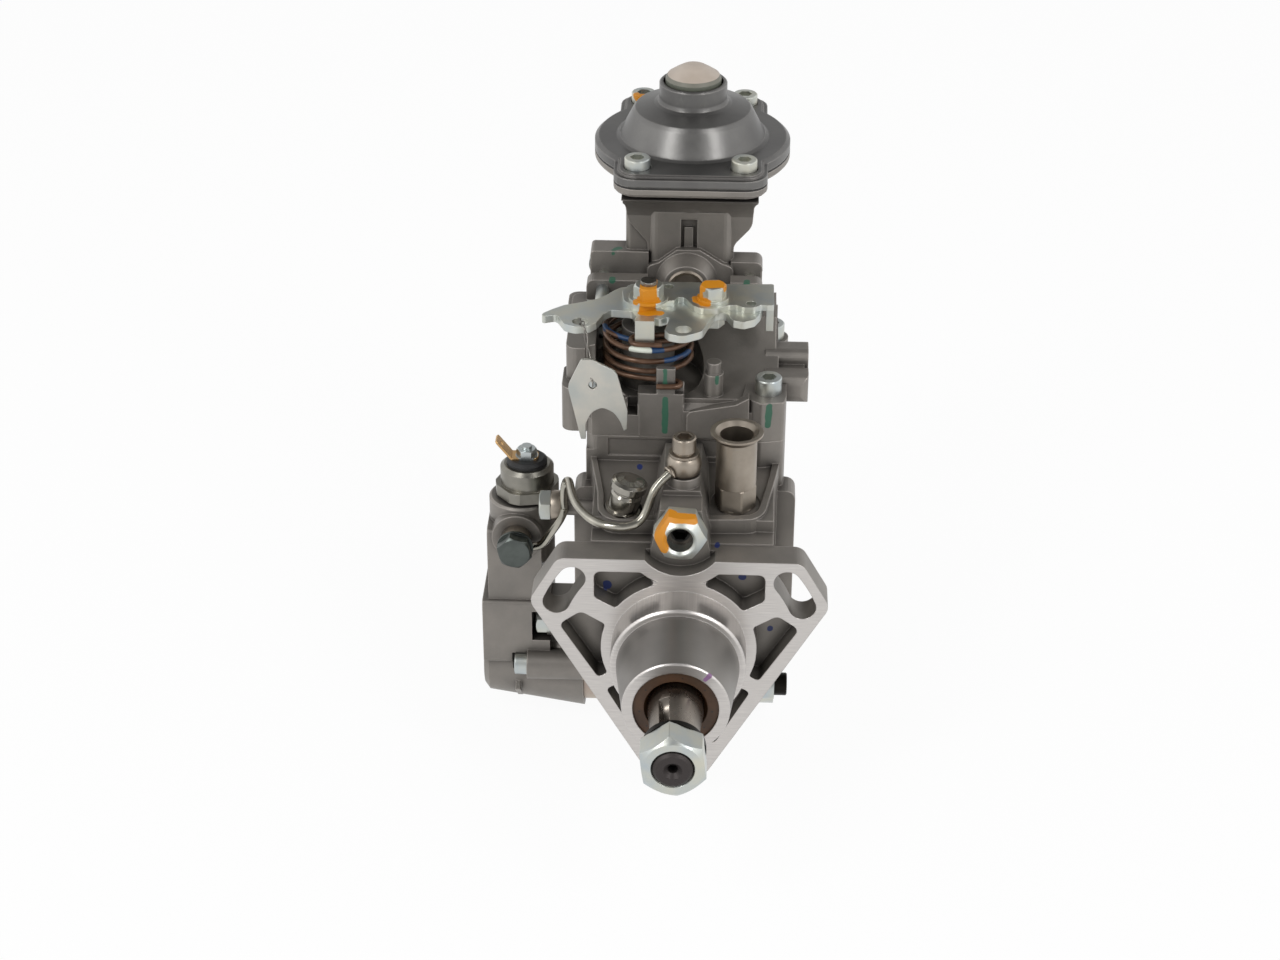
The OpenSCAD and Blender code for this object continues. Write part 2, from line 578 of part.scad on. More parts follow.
module cover_box() {
    xy_plate(joint_z, joint_z + cover_flange_t) polygon(rounded(
        span(-compartment_half_w, compartment_half_w + 1, cover_y, cover_end - 4), [4, 4, 6, 6]));
    // Main box, with a round well for the return spring
    difference() {
        union() {
            yz_plate(-compartment_half_w + 2, compartment_half_w - 2) polygon([[cover_y, joint_z],
                [cover_y, cover_top - 8], [cover_y + 2.4, cover_top - 3], [cover_y + 5, cover_top],
                [cover_end - 6, cover_top], [cover_end - 4, cover_top - 2], [cover_end - 4, joint_z]]);
            xy_plate(joint_z, pad_z) polygon(rounded(
                span(-compartment_half_w, -21.4, cover_y, cover_y + 15), [5, 1, 2, 2]));
        }
        translate([pivot_x, pivot_y, 0]) rod_z(well_r, well_z, cover_top + 1);
        // The wall is lower to the right of the pillar
        yz_plate(-0.4, compartment_half_w) polygon([[cover_y - 1, cover_top + 1], [cover_y - 1, joint_z + 11],
            [cover_y + 0.6, joint_z + 11], [cover_y + 5.5, cover_top - 6], [cover_y + 5.5, cover_top + 1]]);
        translate(sweep_at) rod_x(40, -0.4, compartment_half_w);
    }
    xz_plate(cover_y - 0.7, cover_y + 4) polygon(rounded([[0.8, joint_z], [24, joint_z], [24, joint_z + 17.4],
        [19, joint_z + 14.4], [2, joint_z + 11.2], [0.8, joint_z + 9.6]], [0, 0, 0, 4, 2, 1]));
    // Pads of the screws
    xy_plate(joint_z, pad_z) polygon(screw_pad);
    translate([-30, 98, 0]) rod_z(7, joint_z, pad_z);
    translate([32.8, 119.5, 0]) rod_z(6.6, joint_z, pad_z - 6);
    // Pillar, flush with the front wall, and the spring's anchor post
    xy_plate(joint_z, cover_top - 2.8) polygon(rounded(span(-17.6, -0.4, cover_y - 0.1, cover_y + 7), [0.8, 0.8, 0, 0]));
    xy_plate(joint_z, cover_top + 7.6) polygon(rounded(span(-10.8, -3.6, cover_y, cover_y + 2.4), 0.8));
    // Stepped lug to the right of the spring
    translate([10.6, cover_y + 7.5, 0]) {
        rod_z(3.6, joint_z + 8, cover_top + 3);
        rod_z(2.7, joint_z + 8, cover_top + 7.5);
    }
    // Left wall under the lever
    xy_plate(joint_z, lever_z - 9.6) polygon(rounded(span(-45, -34, pivot_y - 13, ear_y + 6), [4, 0, 0, 4]));
    xy_plate(joint_z, cover_top - 3) polygon(rounded(span(-46.4, -34, cover_y + 3, pivot_y), [4, 0, 0, 2]));
    xy_plate(cover_top - 8, lever_z - 10) polygon(rounded(span(-46.4, -34, ear_y - 6, ear_y + 8), [4, 0, 0, 4]));
    // Right lug with its two ridges
    intersection() {
        union() {
            yz_plate(30, 46.4) polygon(rounded(span(pivot_y - 7, pivot_y + 4, joint_z + 7, cover_top - 2.4), 3.4));
            yz_plate(30, 46.4) polygon(rounded(span(pivot_y + 5, pivot_y + 17, joint_z + 9, cover_top + 2), 3.4));
            yz_plate(30, 44.9) polygon(span(pivot_y, pivot_y + 12, joint_z + 9, cover_top - 3));
        }
        xy_plate(joint_z, cover_top + 4) polygon(rounded(span(20, 46.4, pivot_y - 7, pivot_y + 17), [0, 3, 3, 0]));
    }
    // Ramp that sweeps up behind the lever on the right, round the well
    difference() {
        box(-4, 34, cover_y + 3, ear_y + 12, joint_z + 4, lever_z - 9.6);
        translate(sweep_at) rod_x(40, -5, 35);
        translate([pivot_x, pivot_y, 0]) rod_z(well_r, well_z, lever_z);
    }
    // Boss that guides the control shaft
    translate([pivot_x, pivot_y, 0]) rod_z(10, joint_z + 12, cover_top + 16);
}

module stop_ears() {
    ear_top = lever_z - 1;
    // Front ears
    xz_plate(ear_y, ear_y + 6.5) polygon(rounded([[-39.5, cover_top - 4], [-16, cover_top - 4],
        [-16, ear_top], [-39.5, ear_top]], [0, 0, 0, 3]));
    xz_plate(ear_y, ear_y + 6.5) polygon(rounded([[16, cover_top - 4], [28.4, cover_top - 4],
        [28.4, ear_top], [16, ear_top]], [0, 0, 3, 0]));
    // Rear ears
    xz_plate(ear_y + 13, ear_y + 23) polygon(rounded([[-38.6, cover_top - 4], [-16, cover_top - 4],
        [-16, ear_top + 6.2], [-38.6, ear_top + 6.2]], [0, 0, 0, 1.5]));
    xz_plate(ear_y + 12.5, ear_y + 22) polygon(rounded([[16, cover_top - 4], [28.4, cover_top - 4],
        [28.4, ear_top + 2.8], [16, ear_top + 2.8]], [0, 0, 3, 0]));
}

// Outline of the column seen from the front: a bell below the flange, narrower towards the cover
column_sides = rounded([[-40, boost_z], [-40, boost_z - 6], [-29, boost_z - 8.4], [-25, boost_z - 14],
    [-24.3, boost_z - 21], [-16.4, boost_z - 30.5], [-16.4, joint_z + 4], [17, joint_z + 4], [17, boost_z - 31],
    [24, boost_z - 23], [24.6, boost_z - 13], [29, boost_z - 8.4], [40, boost_z - 6], [40, boost_z]],
    [0, 0, 4, 4, 6, 4, 0, 0, 5, 7, 4, 4, 0, 0]);

module boost_column() {
    front = boost_y - 32.3;
    lip = boost_y - boost_screw_dy / 2 - 8;
    difference() {
        intersection() {
            xz_plate(lip - 2, boost_y + 45) polygon(column_sides);
            union() {
                translate([0, boost_y, 0]) turned_z() polygon([
                    [0, joint_z + 4], [column_d / 2, joint_z + 4], [column_d / 2, boost_z - 20],
                    [column_d / 2 + 2, boost_z - 13], [boost_d / 2 - 6, boost_z - 6.5],
                    [boost_d / 2 - 4, boost_base_z - 3.7], [0, boost_base_z - 3.7]]);
                // Straight front, and the bell that carries the flange's front edge
                xy_plate(cover_top - 5, boost_z - 17) polygon(rounded(
                    span(-16.4, 17, front + 7, boost_y), [4, 4, 0, 0]));
                yz_plate(-26, 26) polygon(concat(arc([lip - 1, boost_z - 24], 18.4, 86, 16, 12),
                    [[front + 8.4, boost_z - 34], [boost_y, boost_z - 34], [boost_y, boost_base_z - 3.7]]));
            }
        }
        // Sloping underside behind the housing
        yz_plate(-99, 99) polygon([[cover_end - 4, joint_z - 1], [cover_end - 4, joint_z + 14],
            [cover_end + 38, joint_z + 50], [cover_end + 70, joint_z + 50], [cover_end + 70, joint_z - 1]]);
        // Channel in the middle of the front
        box(-3.6, 2.8, front + 6, front + 9.4, lever_z - 2, boost_z - 20);
    }
    box(-2.2, 1.2, front + 8, front + 10, lever_z - 2, boost_z - 23.6);
    // Foot with a gabled top, and the ring around the core plug
    xz_plate(front + 4.6, front + 16) polygon(rounded([[-16.4, cover_top - 4], [17, cover_top - 4], [17, lever_z + 0.4],
        [13, lever_z + 1.6], [4, lever_z + 7.4], [-5, lever_z + 7.4], [-12, lever_z + 1.8], [-16.4, lever_z + 0.4]],
        [0, 0, 3, 2, 1.5, 1.5, 2, 3]));
    translate([-1, front - 2, lever_z - 5.6]) rotate([-90, 0, 0]) cylinder(r1 = 9, r2 = 12.4, h = 8);
    box(-10, 8, front - 2, front + 16, cover_top - 4, lever_z - 6);
    // Vertical rib on the left
    xy_plate(lever_z - 4, boost_z - 13) polygon(rounded(
        span(-column_d / 2 - 0.4, -15, front + 9, boost_y + 6), [2, 0, 0, 2]));
}

// Outline of the diaphragm housing, or a smaller one by the inset
module boost_plate(z0, z1, inset = 0) translate([0, boost_y, 0]) xy_plate(z0, z1) {
    circle(d = boost_d - inset);
    polygon(rounded(block(boost_screw_dx + 18 - inset, boost_screw_dy + 19 - inset), 8.6 - inset / 2));
}
module boost_screw_places() for (x = [-1, 1]) for (y = [-1, 1])
    translate([x * boost_screw_dx / 2, boost_y + y * boost_screw_dy / 2, 0]) children();

module governor_cover() color("gray") difference() {
    union() {
        cover_box();
        stop_ears();
        boost_column();
        boost_plate(boost_base_z - 2.2, boost_base_z);
        boost_plate(boost_base_z - 3, boost_base_z - 2.1, 1.4);
        boost_plate(boost_base_z - 3.8, boost_base_z - 2.9, 4);
    }
    // Compartment over the governor
    translate([0, 0, gov_z]) rod_y(gear_cavity_r, gear_y - 0.6, cage_end);
    box(-compartment_in, compartment_in, gear_end, 118, joint_z - 1, well_z - 2.6);
    // Gap between the pillar and the left corner
    box(-21.4, -17.6, cover_y - 1, cover_y + 7.5, joint_z + 9, cover_top + 1);
    // Control shaft, boost pin and the space under the diaphragm
    translate([pivot_x, pivot_y, 0]) rod_z(6 + running_fit, joint_z, cover_top + 17);
    translate([0, boost_y, 0]) rod_z(4 + running_fit, cover_top + 6, boost_z);
    translate([0, boost_y, 0]) rod_z(24, boost_z - 11, boost_z);
    // Core plug seat
    translate([-1, boost_y - 34.4, lever_z - 5.6]) rod_y(7.5, -6, 7);
    // Screw holes and the seats of their heads
    cover_screw_places(joint_z) rod_z(cover_screw_d / 2, -1, 30);
    for (p = [[-32.4, 61.2], [31.2, 62.5], [-30, 98]]) translate(p) rod_z(5.6, pad_z, 99);
    translate([32.8, 119.5, 0]) rod_z(5.6, pad_z - 6, 99);
    boost_screw_places() rod_z(3, boost_z - 5, boost_z + 1);
    // Stop screws and the room for their nut and cap
    for (x = [-33.2, 23.6]) translate([x, 0, stop_z]) rod_y(2.5, ear_y - 1, ear_y + 37);
    translate([-33.2, 0, stop_z]) rod_y(9, ear_y + 23, ear_y + 37);
    translate([23.6, 0, stop_z]) rod_y(5.2, ear_y + 22, ear_y + 37);
    translate([14, cover_end - 4, joint_z + 8]) rod_y(3, -16, 1);
}

module cover_screws() color("silver") {
    for (p = [[-32.4, 61.2], [31.2, 62.5], [-30, 98]])
        translate([p.x, p.y, pad_z]) socket_screw(cover_screw_d, pad_z - joint_z + 14, 10, 6);
    translate([32.8, 119.5, pad_z - 6]) socket_screw(cover_screw_d, pad_z - joint_z + 8, 10, 6);
}

module core_plug() color("gainsboro") translate([-1, boost_y - 34.4, lever_z - 5.6]) turned_y() polygon([
    [0, 1.6], [5, 1.6], [5.6, 0.2], [6.8, -0.7], [7.5, 0.2], [7.5, 6.5], [0, 6.5]]);

module boost_cover() color("dimgray") difference() {
    union() {
        boost_plate(boost_lid_z, boost_lid_z + lid_t - 1.4);
        // Bevelled upper edge of the lid
        translate([0, boost_y, 0]) {
            translate([0, 0, boost_lid_z + lid_t - 1.4])
                cylinder(r1 = boost_d / 2, r2 = boost_d / 2 - 1.5, h = 1.4);
        }
        boost_plate(boost_lid_z + lid_t - 1.41, boost_lid_z + lid_t - 0.5, 3);
        boost_plate(boost_lid_z + lid_t - 0.51, boost_lid_z + lid_t, 4.4);
        translate([0, boost_y, 0]) turned_z() polygon([
            [0, boost_lid_z + 1], [boost_d / 2 - 4, boost_lid_z + 1], [boost_d / 2 - 4, boost_lid_z + lid_t],
            [29.6, boost_lid_z + lid_t], [28.2, boost_lid_z + lid_t + 0.8], [27, boost_lid_z + lid_t + 3],
            [23.6, boost_z + 14.8], [22.4, boost_z + 16.4], [neck_d / 2 + 2, boost_z + 18.4],
            [neck_d / 2 + 0.5, boost_z + 19.2], [neck_d / 2, boost_z + 20.6],
            [neck_d / 2, boost_z + neck_top - 0.6], [neck_d / 2 - 0.6, boost_z + neck_top],
            [0, boost_z + neck_top]]);
    }
    translate([0, boost_y, 0]) turned_z() polygon([
        [0, boost_z], [25.5, boost_z], [24, boost_z + 7], [21, boost_z + 13.6], [12, boost_z + 15.4],
        [9, boost_z + 16], [9, boost_z + 20], [neck_in_r, boost_z + 20],
        [neck_in_r, boost_z + neck_top + 1], [0, boost_z + neck_top + 1]]);
    boost_screw_places() rod_z(3, boost_z - 1, boost_z + 20);
    boost_screw_places() rod_z(5.2, boost_lid_z + lid_t - 1, boost_z + 20);
}

module boost_cover_screws() color("silver")
    boost_screw_places() translate([0, 0, boost_lid_z + lid_t - 1]) socket_screw(6, 8.6, 9.8, 5);

module boost_cap() color("beige") translate([0, boost_y, boost_z + neck_top]) turned_z() polygon([
    [0, -7], [neck_in_r, -7], [neck_in_r, -3], [neck_in_r - 0.8, -2], [neck_in_r - 0.8, 1.2],
    [neck_in_r - 1.6, 2.6], [7, 4.6], [4.6, 6], [2.6, 6.6], [0, 6.7]]);

module diaphragm() color("black") difference() {
    boost_plate(boost_base_z, boost_lid_z);
    translate([0, boost_y, 0]) rod_z(22.5, boost_z - 2, boost_z + 2);
    boost_screw_places() rod_z(3, boost_z - 3, boost_z + 3);
}

module boost_pin() color("silver") translate([0, boost_y, 0]) {
    difference() {
        turned_z() polygon([
            [0, cover_top + 16], [3, cover_top + 16], [3, cover_top + 24], [4, cover_top + 32],
            [4, boost_z - 5], [6, boost_z - 5], [6, boost_z - 2.4], [22, boost_z - 2.4],
            [22, boost_z + 2.2], [6, boost_z + 2.2], [6, boost_z + 5], [0, boost_z + 5]]);
        rod_z(1.6, boost_z, boost_z + 7);
    }
}

// Distributor head

module valve_places() for (i = [0:valve_count - 1]) rotate([0, 360 * (i + 0.5) / valve_count, 0])
    translate([0, 0, 20]) children();

module distributor_head() color("darkgray") difference() {
    union() {
        rod_y(plunger_r + 7, barrel_y, housing_len + 1);
        rod_y(ring_r, housing_len - 8, housing_len);
        xz_plate(housing_len, housing_len + 14) polygon(rounded(block(72, 72), 14));
        turned_y() polygon([[0, housing_len + 13], [30, housing_len + 13], [30, housing_len + 32],
            [28, housing_len + 34], [0, housing_len + 34]]);
        translate([0, solenoid_y, 0]) rod_z(11.5, 0, 38);
    }
    rod_y(plunger_r + running_fit, barrel_y - 1, housing_len + 36);
    rod_y(8, plug_y, plug_y + 6);
    valve_places() rod_y(7, housing_len + 24, housing_len + 36);
    head_screw_places() rod_y(3, housing_len - 1, housing_len + 16);
    translate([0, solenoid_y, 0]) rod_z(9, 26, 40);
}

module head_screws() color("silver") head_screw_places()
    translate([0, housing_len + 14, 0]) rotate([-90, 0, 0]) socket_screw(6, 26, 10, 6);

module delivery_valve_holders() color("silver") valve_places() difference() {
    union() {
        rod_y(7, housing_len + 24, housing_len + 35);
        translate([0, housing_len + 34, 0]) rotate([-90, 0, 0]) hex_head(17, 10);
        rod_y(valve_thread_d / 2, housing_len + 43, housing_len + 56);
    }
    rod_y(1.2, housing_len + 26, housing_len + 57);
    translate([0, housing_len + 53, 0]) rotate([-90, 0, 0]) cylinder(r1 = 1.2, r2 = 4, h = 3.1);
}

module head_centre_plug() color("silver") difference() {
    union() {
        rod_y(8, plug_y, plug_y + 5);
        translate([0, plug_y + 4, 0]) rotate([-90, 0, 0]) hex_head(19, 6);
    }
    rod_y(3, plug_y + 6, plug_y + 11);
}

module shutoff_solenoid() color("silver") translate([0, solenoid_y, 0]) {
    rod_z(9, 26.2, 38.2);
    translate([0, 0, 38]) hex_head(22, 6);
    rod_z(10, 44, 66);
    rod_z(5, 66, 69);
    rod_z(2, 69, 76);
    translate([0, 0, 70]) hex_head(7, 3);
}

// Deck fittings

module inlet_fitting() color("lightgray") translate([inlet_at.x, inlet_at.y, inlet_z]) difference() {
    union() {
        rod_z(7, -11.5, 0.1);
        rotate([0, 0, -13]) intersection() {
            hex_head(13.8, 9.4, 0.2);
            cylinder(r = 7.75, h = 9.4);
        }
        rod_z(inlet_d / 2, 9, inlet_h - 3);
        translate([0, 0, inlet_h - 3]) cylinder(d1 = inlet_d, d2 = inlet_d + 4.5, h = 2.2);
        rod_z(inlet_d / 2 + 2.25, inlet_h - 0.8, inlet_h);
    }
    rod_z(inlet_d / 2 - 2, -12, inlet_h);
    rod_z(inlet_d / 2 - 1.3, inlet_h - 15.4, inlet_h + 1);
    translate([0, 0, inlet_h - 1.4]) cylinder(r1 = inlet_d / 2 - 1.3, r2 = inlet_d / 2 + 0.6, h = 1.5);
}

module pressure_valve() color("silver") pressure_valve_place() difference() {
    union() {
        rod_z(5.8, -6.8, 7);
        rod_z(6.6, 0, 1.2);
        translate([0, 0, 6.9]) cylinder(r1 = 5.8, r2 = 5.2, h = 1.2);
        rod_z(5, 8, 9.4);
        translate([0, 0, 9.3]) cylinder(r1 = 6.2, r2 = 6.7, h = 0.6);
        rod_z(6.7, 9.8, 12.4);
        translate([0, 0, 12.3]) cylinder(r1 = 6.7, r2 = 5.4, h = 0.9);
        translate([0, 0, 13.1]) cylinder(r1 = 5.4, r2 = 2.4, h = 0.7);
    }
    rod_z(3, -8, -1);
}

module governor_shaft() color("silver") translate([0, 0, gov_z]) difference() {
    union() {
        rod_y(6, flange_t - 5, 16);
        rod_y(4.8, flange_t - 9, flange_t - 4.9);
        rod_y(gov_shaft_r, 15.9, sleeve_end - 4);
    }
    translate([0, flange_t - 10, 0]) rotate([-90, 0, 0]) cylinder(d = 6.2, h = 6, $fn = 6);
}

module governor_shaft_nut() color("silver") translate([0, -3, gov_z]) rotate([-90, 0, 0]) difference() {
    union() {
        rotate([0, 0, 4]) intersection() {
            cylinder(d = gov_nut_af / cos(30), h = 9.9, $fn = 6);
            turned_z() polygon([[0, 0], [6.2, 0], [10.4, 3.4], [10.4, 9.9], [0, 9.9]]);
        }
    }
    rod_z(4.8, -1, 12);
    translate([0, 0, -0.1]) cylinder(r1 = 5.8, r2 = 4.7, h = 1.1);
}

module banjo_eye(r, h, hole) difference() {
    cylinder(r = r, h = h);
    translate([0, 0, -1]) cylinder(r = hole, h = h + 2);
}

module top_banjo_bolt() color("silver") translate([banjo_at.x, banjo_at.y, banjo_z]) {
    rod_z(3, -6.8, 9);
    difference() {
        union() {
            rod_z(5.6, 7.8, 8.8);
            rod_z(3.8, 8.7, 9.6);
            rod_z(4.4, 9.5, 14.6);
            translate([0, 0, 14.6]) cylinder(r1 = 4.4, r2 = 3.9, h = 0.5);
        }
        translate([0, 0, 12]) cylinder(d = 5.8, h = 6, $fn = 6);
    }
}

// Route of the pipe from the top banjo eye over the deck to the side eye and down to the lower one
side_x = -housing_half_w;
low_x = lower_banjo_at.x;
pipe_route = cut_corners([
    [-2.7, 21.1, 64.2], [-4.8, 19.8, 62.9], [-7.7, 18.4, 60.5], [-10.4, 16.6, 57.6], [-12.1, 15, 51.6],
    [-14.2, 13.4, 46.6], [-19, 11, 44.9], [-25, 11.5, 44.9], [-30, 13.5, 44.8], [-34.5, 18, 44.6],
    [side_x + 3, 25.5, 45], [side_x + 0.7, 34, 45.4], [side_x - 0.4, 40.5, 46], [side_x - 1.4, 43.8, 45.8],
    [side_x - 2.7, 45, 42.4], [side_x - 2.9, 45, 36.8], [side_x - 2.9, 45, 31.2]]);
drain_route = cut_corners([
    [side_x - 2.9, 45, 33], [side_x - 2.9, 45, 31], [side_x - 4.5, 45.4, 26.6], [low_x + 14.3, 46.6, 21.4],
    [low_x + 11.3, 47.8, 15.6], [low_x + 9.3, 48.6, 12.8], [low_x + 5.5, 48.9, 12.4]]);

module fuel_pipe() color("silver") {
    swept_tube(pipe_route, pipe_d / 2, 10);
    swept_tube(drain_route, pipe_d / 2, 10);
    translate([banjo_at.x, banjo_at.y, banjo_z + 0.05]) {
        banjo_eye(5.4, 7.7, 3.05);
        difference() {
            translate([0, 0, 3.85]) sphere(r = 6.4);
            rod_z(3.05, -9, 12);
            rod_z(9, -9, 0);
            rod_z(9, 7.7, 12);
        }
    }
    translate([-housing_half_w - 4.25, side_banjo_at.x, side_banjo_at.y]) rotate([0, -90, 0])
        banjo_eye(5.8, 4, 2.45);
    translate([lower_banjo_at.x, unit_front - 0.05, lower_banjo_at.y]) rotate([90, 0, 0])
        banjo_eye(5.8, 6.2, 3.05);
    swept_tube([[-3.6, 20.7, 64], [-5.2, 19.6, 62.9]], 2.1, 12);
}

module side_banjo_bolt() color("silver") translate([0, side_banjo_at.x, side_banjo_at.y]) {
    rod_x(2.4, -housing_half_w - 8.4, -housing_half_w + 8);
    translate([-housing_half_w - 8.3, 0, 0]) rotate([0, -90, 0]) hex_head(11, 4.3);
}

module lower_banjo_bolt() color("darkslategray") translate([lower_banjo_at.x, unit_front, lower_banjo_at.y]) {
    rod_y(3, -6.4, 6.2);
    translate([0, -6.3, 0]) rotate([90, 0, 0]) rod_z(7, 0, 1);
    translate([0, -7.2, 0]) rotate([90, 15, 0]) hex_head(12, 4.5);
}

// Cold start unit on the left end of the timing bore

module cold_start_housing() color("gray") difference() {
    union() {
        // Tapered body around the timing piston's spring
        translate([-unit_right, timing_y, timing_z]) rotate([0, -90, 0]) {
            cylinder(r1 = unit_r, r2 = unit_r - 5.4, h = unit_left - unit_right - 2);
            translate([0, 0, unit_left - unit_right - 2.01]) cylinder(r1 = unit_r - 5.4, r2 = unit_r - 8, h = 2);
        }
        yz_plate(-unit_left + 0.6, -unit_right - 13) polygon(rounded([
            [unit_front - 1, -44], [timing_y + 13, -44], [timing_y + 13, -14.5], [unit_front - 1, -14.5]], [3, 0, 3, 2]));
        yz_plate(-unit_left + 3, -54.5) polygon(rounded(
            span(unit_front + 1, timing_y + 11, -20, unit_boss_z - 9), [0, 0, 3, 3]));
        translate(boss_at) rod_z(boss_r, 0, unit_boss_z - 0.8);
        translate([boss_at.x, boss_at.y, unit_boss_z - 0.8]) cylinder(r1 = boss_r, r2 = boss_r - 0.8, h = 0.8);
        translate([lower_banjo_at.x, 0, lower_banjo_at.y]) rod_y(9.6, unit_front, unit_front + 14);
        // Screw lugs
        unit_screw_places() rod_x(6, -unit_right - 22, -unit_right);
        for (y = [-1, 1]) box(-unit_right - 22, -unit_right, timing_y + y * 15 - 4, timing_y + y * 15 + 4,
            timing_z, timing_z + 12);
        translate([-unit_right - 13, unit_front + 4, timing_z + 24]) rod_x(6, -0.1, 9);
        box(-unit_right - 13.1, -unit_right - 4, unit_front + 4, timing_y + 4, timing_z + 8, timing_z + 30);
        // Web below
        yz_plate(-unit_left + 13, -unit_left + 15) polygon([[timing_y - unit_r + 0.5, timing_z - 5],
            [timing_y - 8, timing_z - 16], [timing_y - 4, timing_z + 6]]);
    }
    translate([0, timing_y, timing_z]) rod_x(timing_r + 0.5, -unit_left + 9, -unit_right + 1);
    translate(can_at) rod_z(7, unit_boss_z - 10, unit_boss_z + 3);
    translate([lower_banjo_at.x, 0, lower_banjo_at.y]) rod_y(3, unit_front - 1, unit_front + 9);
    unit_screw_places() rod_x(2.5, -unit_right - 24, -unit_right + 1);
    unit_screw_places() rod_x(4.6, -unit_right - 28, -unit_right - 22);
    translate([-unit_right - 13, unit_front + 4, timing_z + 24]) rod_x(3, -8, 8);
    box(-unit_right - 20, -unit_right - 13, unit_front - 3, unit_front + 10.6, timing_z + 17.4, timing_z + 30.6);
}

module cold_start_solenoid() color("silver") translate([can_at.x, can_at.y, unit_boss_z]) {
    rod_z(7, -9.8, 1);
    rod_z(can_d / 2 - 0.8, 0, 1.2);
    translate([0, 0, 1.1]) rotate([0, 0, 10]) intersection() {
        cylinder(d = 26.6, h = 4.6, $fn = 6);
        cylinder(r = can_d / 2 + 1.9, h = 4.6);
    }
    translate([0, 0, 5.6]) cylinder(d = can_d, h = can_h - 7);
    translate([0, 0, can_h - 1.4]) cylinder(d1 = can_d, d2 = can_d - 3, h = 1.4);
}

module solenoid_insulator() color("black") translate([can_at.x, can_at.y, unit_boss_z + can_h])
    turned_z() polygon([[2.05, 0], [7.8, 0], [7.8, 1.4], [6.6, 2.4], [2.05, 2.4]]);

module solenoid_terminal() color("goldenrod") translate([can_at.x, can_at.y, unit_boss_z + 2.4 + can_h]) {
    // Spade tab, bent up to the left
    difference() {
        union() {
            xy_plate(0, 0.8) polygon(rounded([[-6, -3.2], [4.5, -3.2], [4.5, 3.2], [-6, 3.2]], [0, 2, 2, 0]));
            translate([-6, 0, 0]) rotate([0, 52, 0])
                xy_plate(0, 0.8) polygon(rounded([[-9.5, -3.1], [0, -3.1], [0, 3.1], [-9.5, 3.1]], [1, 0, 0, 1]));
        }
        translate([-6, 0, 0]) rotate([0, 52, 0]) translate([-6.5, 0, 0]) rod_z(0.9, -1, 2);
        rod_z(2.05, -1, 2);
    }
    rod_z(2, -1, 5);
    translate([0, 0, 0.8]) hex_head(7, 3);
}

module timing_spacer() color("rosybrown") difference() {
    union() {
        translate([0, timing_y, timing_z]) rod_x(timing_r + timing_wall, -unit_right, -timing_half_len);
        unit_screw_places() rod_x(6, -unit_right, -timing_half_len);
        for (y = [-1, 1]) box(-unit_right, -timing_half_len, timing_y + y * 15 - 4, timing_y + y * 15 + 4,
            timing_z + 1, timing_z + 12);
    }
    translate([0, timing_y, timing_z]) rod_x(timing_r + running_fit, -unit_right - 1, -timing_half_len + 1);
    unit_screw_places() rod_x(2.5, -unit_right - 1, -timing_half_len + 1);
}

module timing_cover() color("silver") difference() {
    union() {
        translate([0, timing_y, timing_z]) rod_x(timing_r + timing_wall, timing_half_len, timing_half_len + 5.5);
        timing_screw_places() rod_x(6, timing_half_len, timing_half_len + 5.5);
        box(timing_half_len, timing_half_len + 5.5, timing_y - 17, timing_y + 17, timing_z - 5.8, timing_z + 5.8);
    }
    timing_screw_places() rod_x(2.5, timing_half_len - 1, timing_half_len + 8);
}

module timing_screws() color("black") timing_screw_places()
    translate([timing_half_len + 5.5, 0, 0]) rotate([0, 90, 0]) socket_screw(5, 14, 9, 5);

module cold_start_screws() color("silver") {
    unit_screw_places()
        translate([-unit_right - 22, 0, 0]) rotate([0, -90, 0]) socket_screw(5, 37, 8.8, 5);
    // Hexagon screw of the upper lug
    translate([-unit_right - 13, unit_front + 4, timing_z + 24]) {
        rod_x(3, -0.1, 7.8);
        rotate([0, -90, 0]) rod_z(6, 0, 1.2);
        translate([-1.1, 0, 0]) rotate([0, -90, 0]) hex_head(10, 4.4);
    }
}

module timing_spring() color("dimgray") {
    turns = 7;
    from = -12 - 1.4;
    to = -unit_left + 9 + 1.4;
    translate([0, timing_y, timing_z]) swept_tube([for (i = [0:turns * 16])
        [from + (to - from) * i / (turns * 16), 8 * cos(22.5 * i), 8 * sin(22.5 * i)]], 1.2, 6);
}

// Stop and adjusting screws of the cover

module stop_screw(x, tip, tail, nut) translate([x, 0, stop_z]) {
    rod_y(2.5, tip, tail);
    translate([0, nut, 0]) rotate([-90, 0, 0]) hex_head(8, 4);
}

module stop_screws() color("silver") {
    difference() {
        stop_screw(-33.2, ear_y - 20.2, ear_y + 30, ear_y + 23);
        translate([-33.2, ear_y + 28, stop_z]) rotate([-90, 0, 0]) cylinder(d = 2.9, h = 5, $fn = 6);
    }
    difference() {
        stop_screw(23.6, ear_y - 2.7, ear_y + 30, ear_y + 22);
        translate([23.6, ear_y + 27, stop_z]) rotate([-90, 0, 0]) cylinder(d = 2.9, h = 5, $fn = 6);
    }
    // Sealing cap over the idle screw's lock nut
    translate([-33.2, 0, stop_z]) difference() {
        turned_y() polygon([[0, ear_y + 23], [6.6, ear_y + 23], [6.6, ear_y + 28], [4, ear_y + 33], [0, ear_y + 33]]);
        rod_y(5, ear_y + 22, ear_y + 30.4);
    }
}

module full_load_screw() color("silver") translate([14, cover_end - 4, joint_z + 8]) {
    rod_y(3, -15.8, 12);
    rotate([-90, 0, 0]) hex_head(10, 5);
}

// Rotating parts

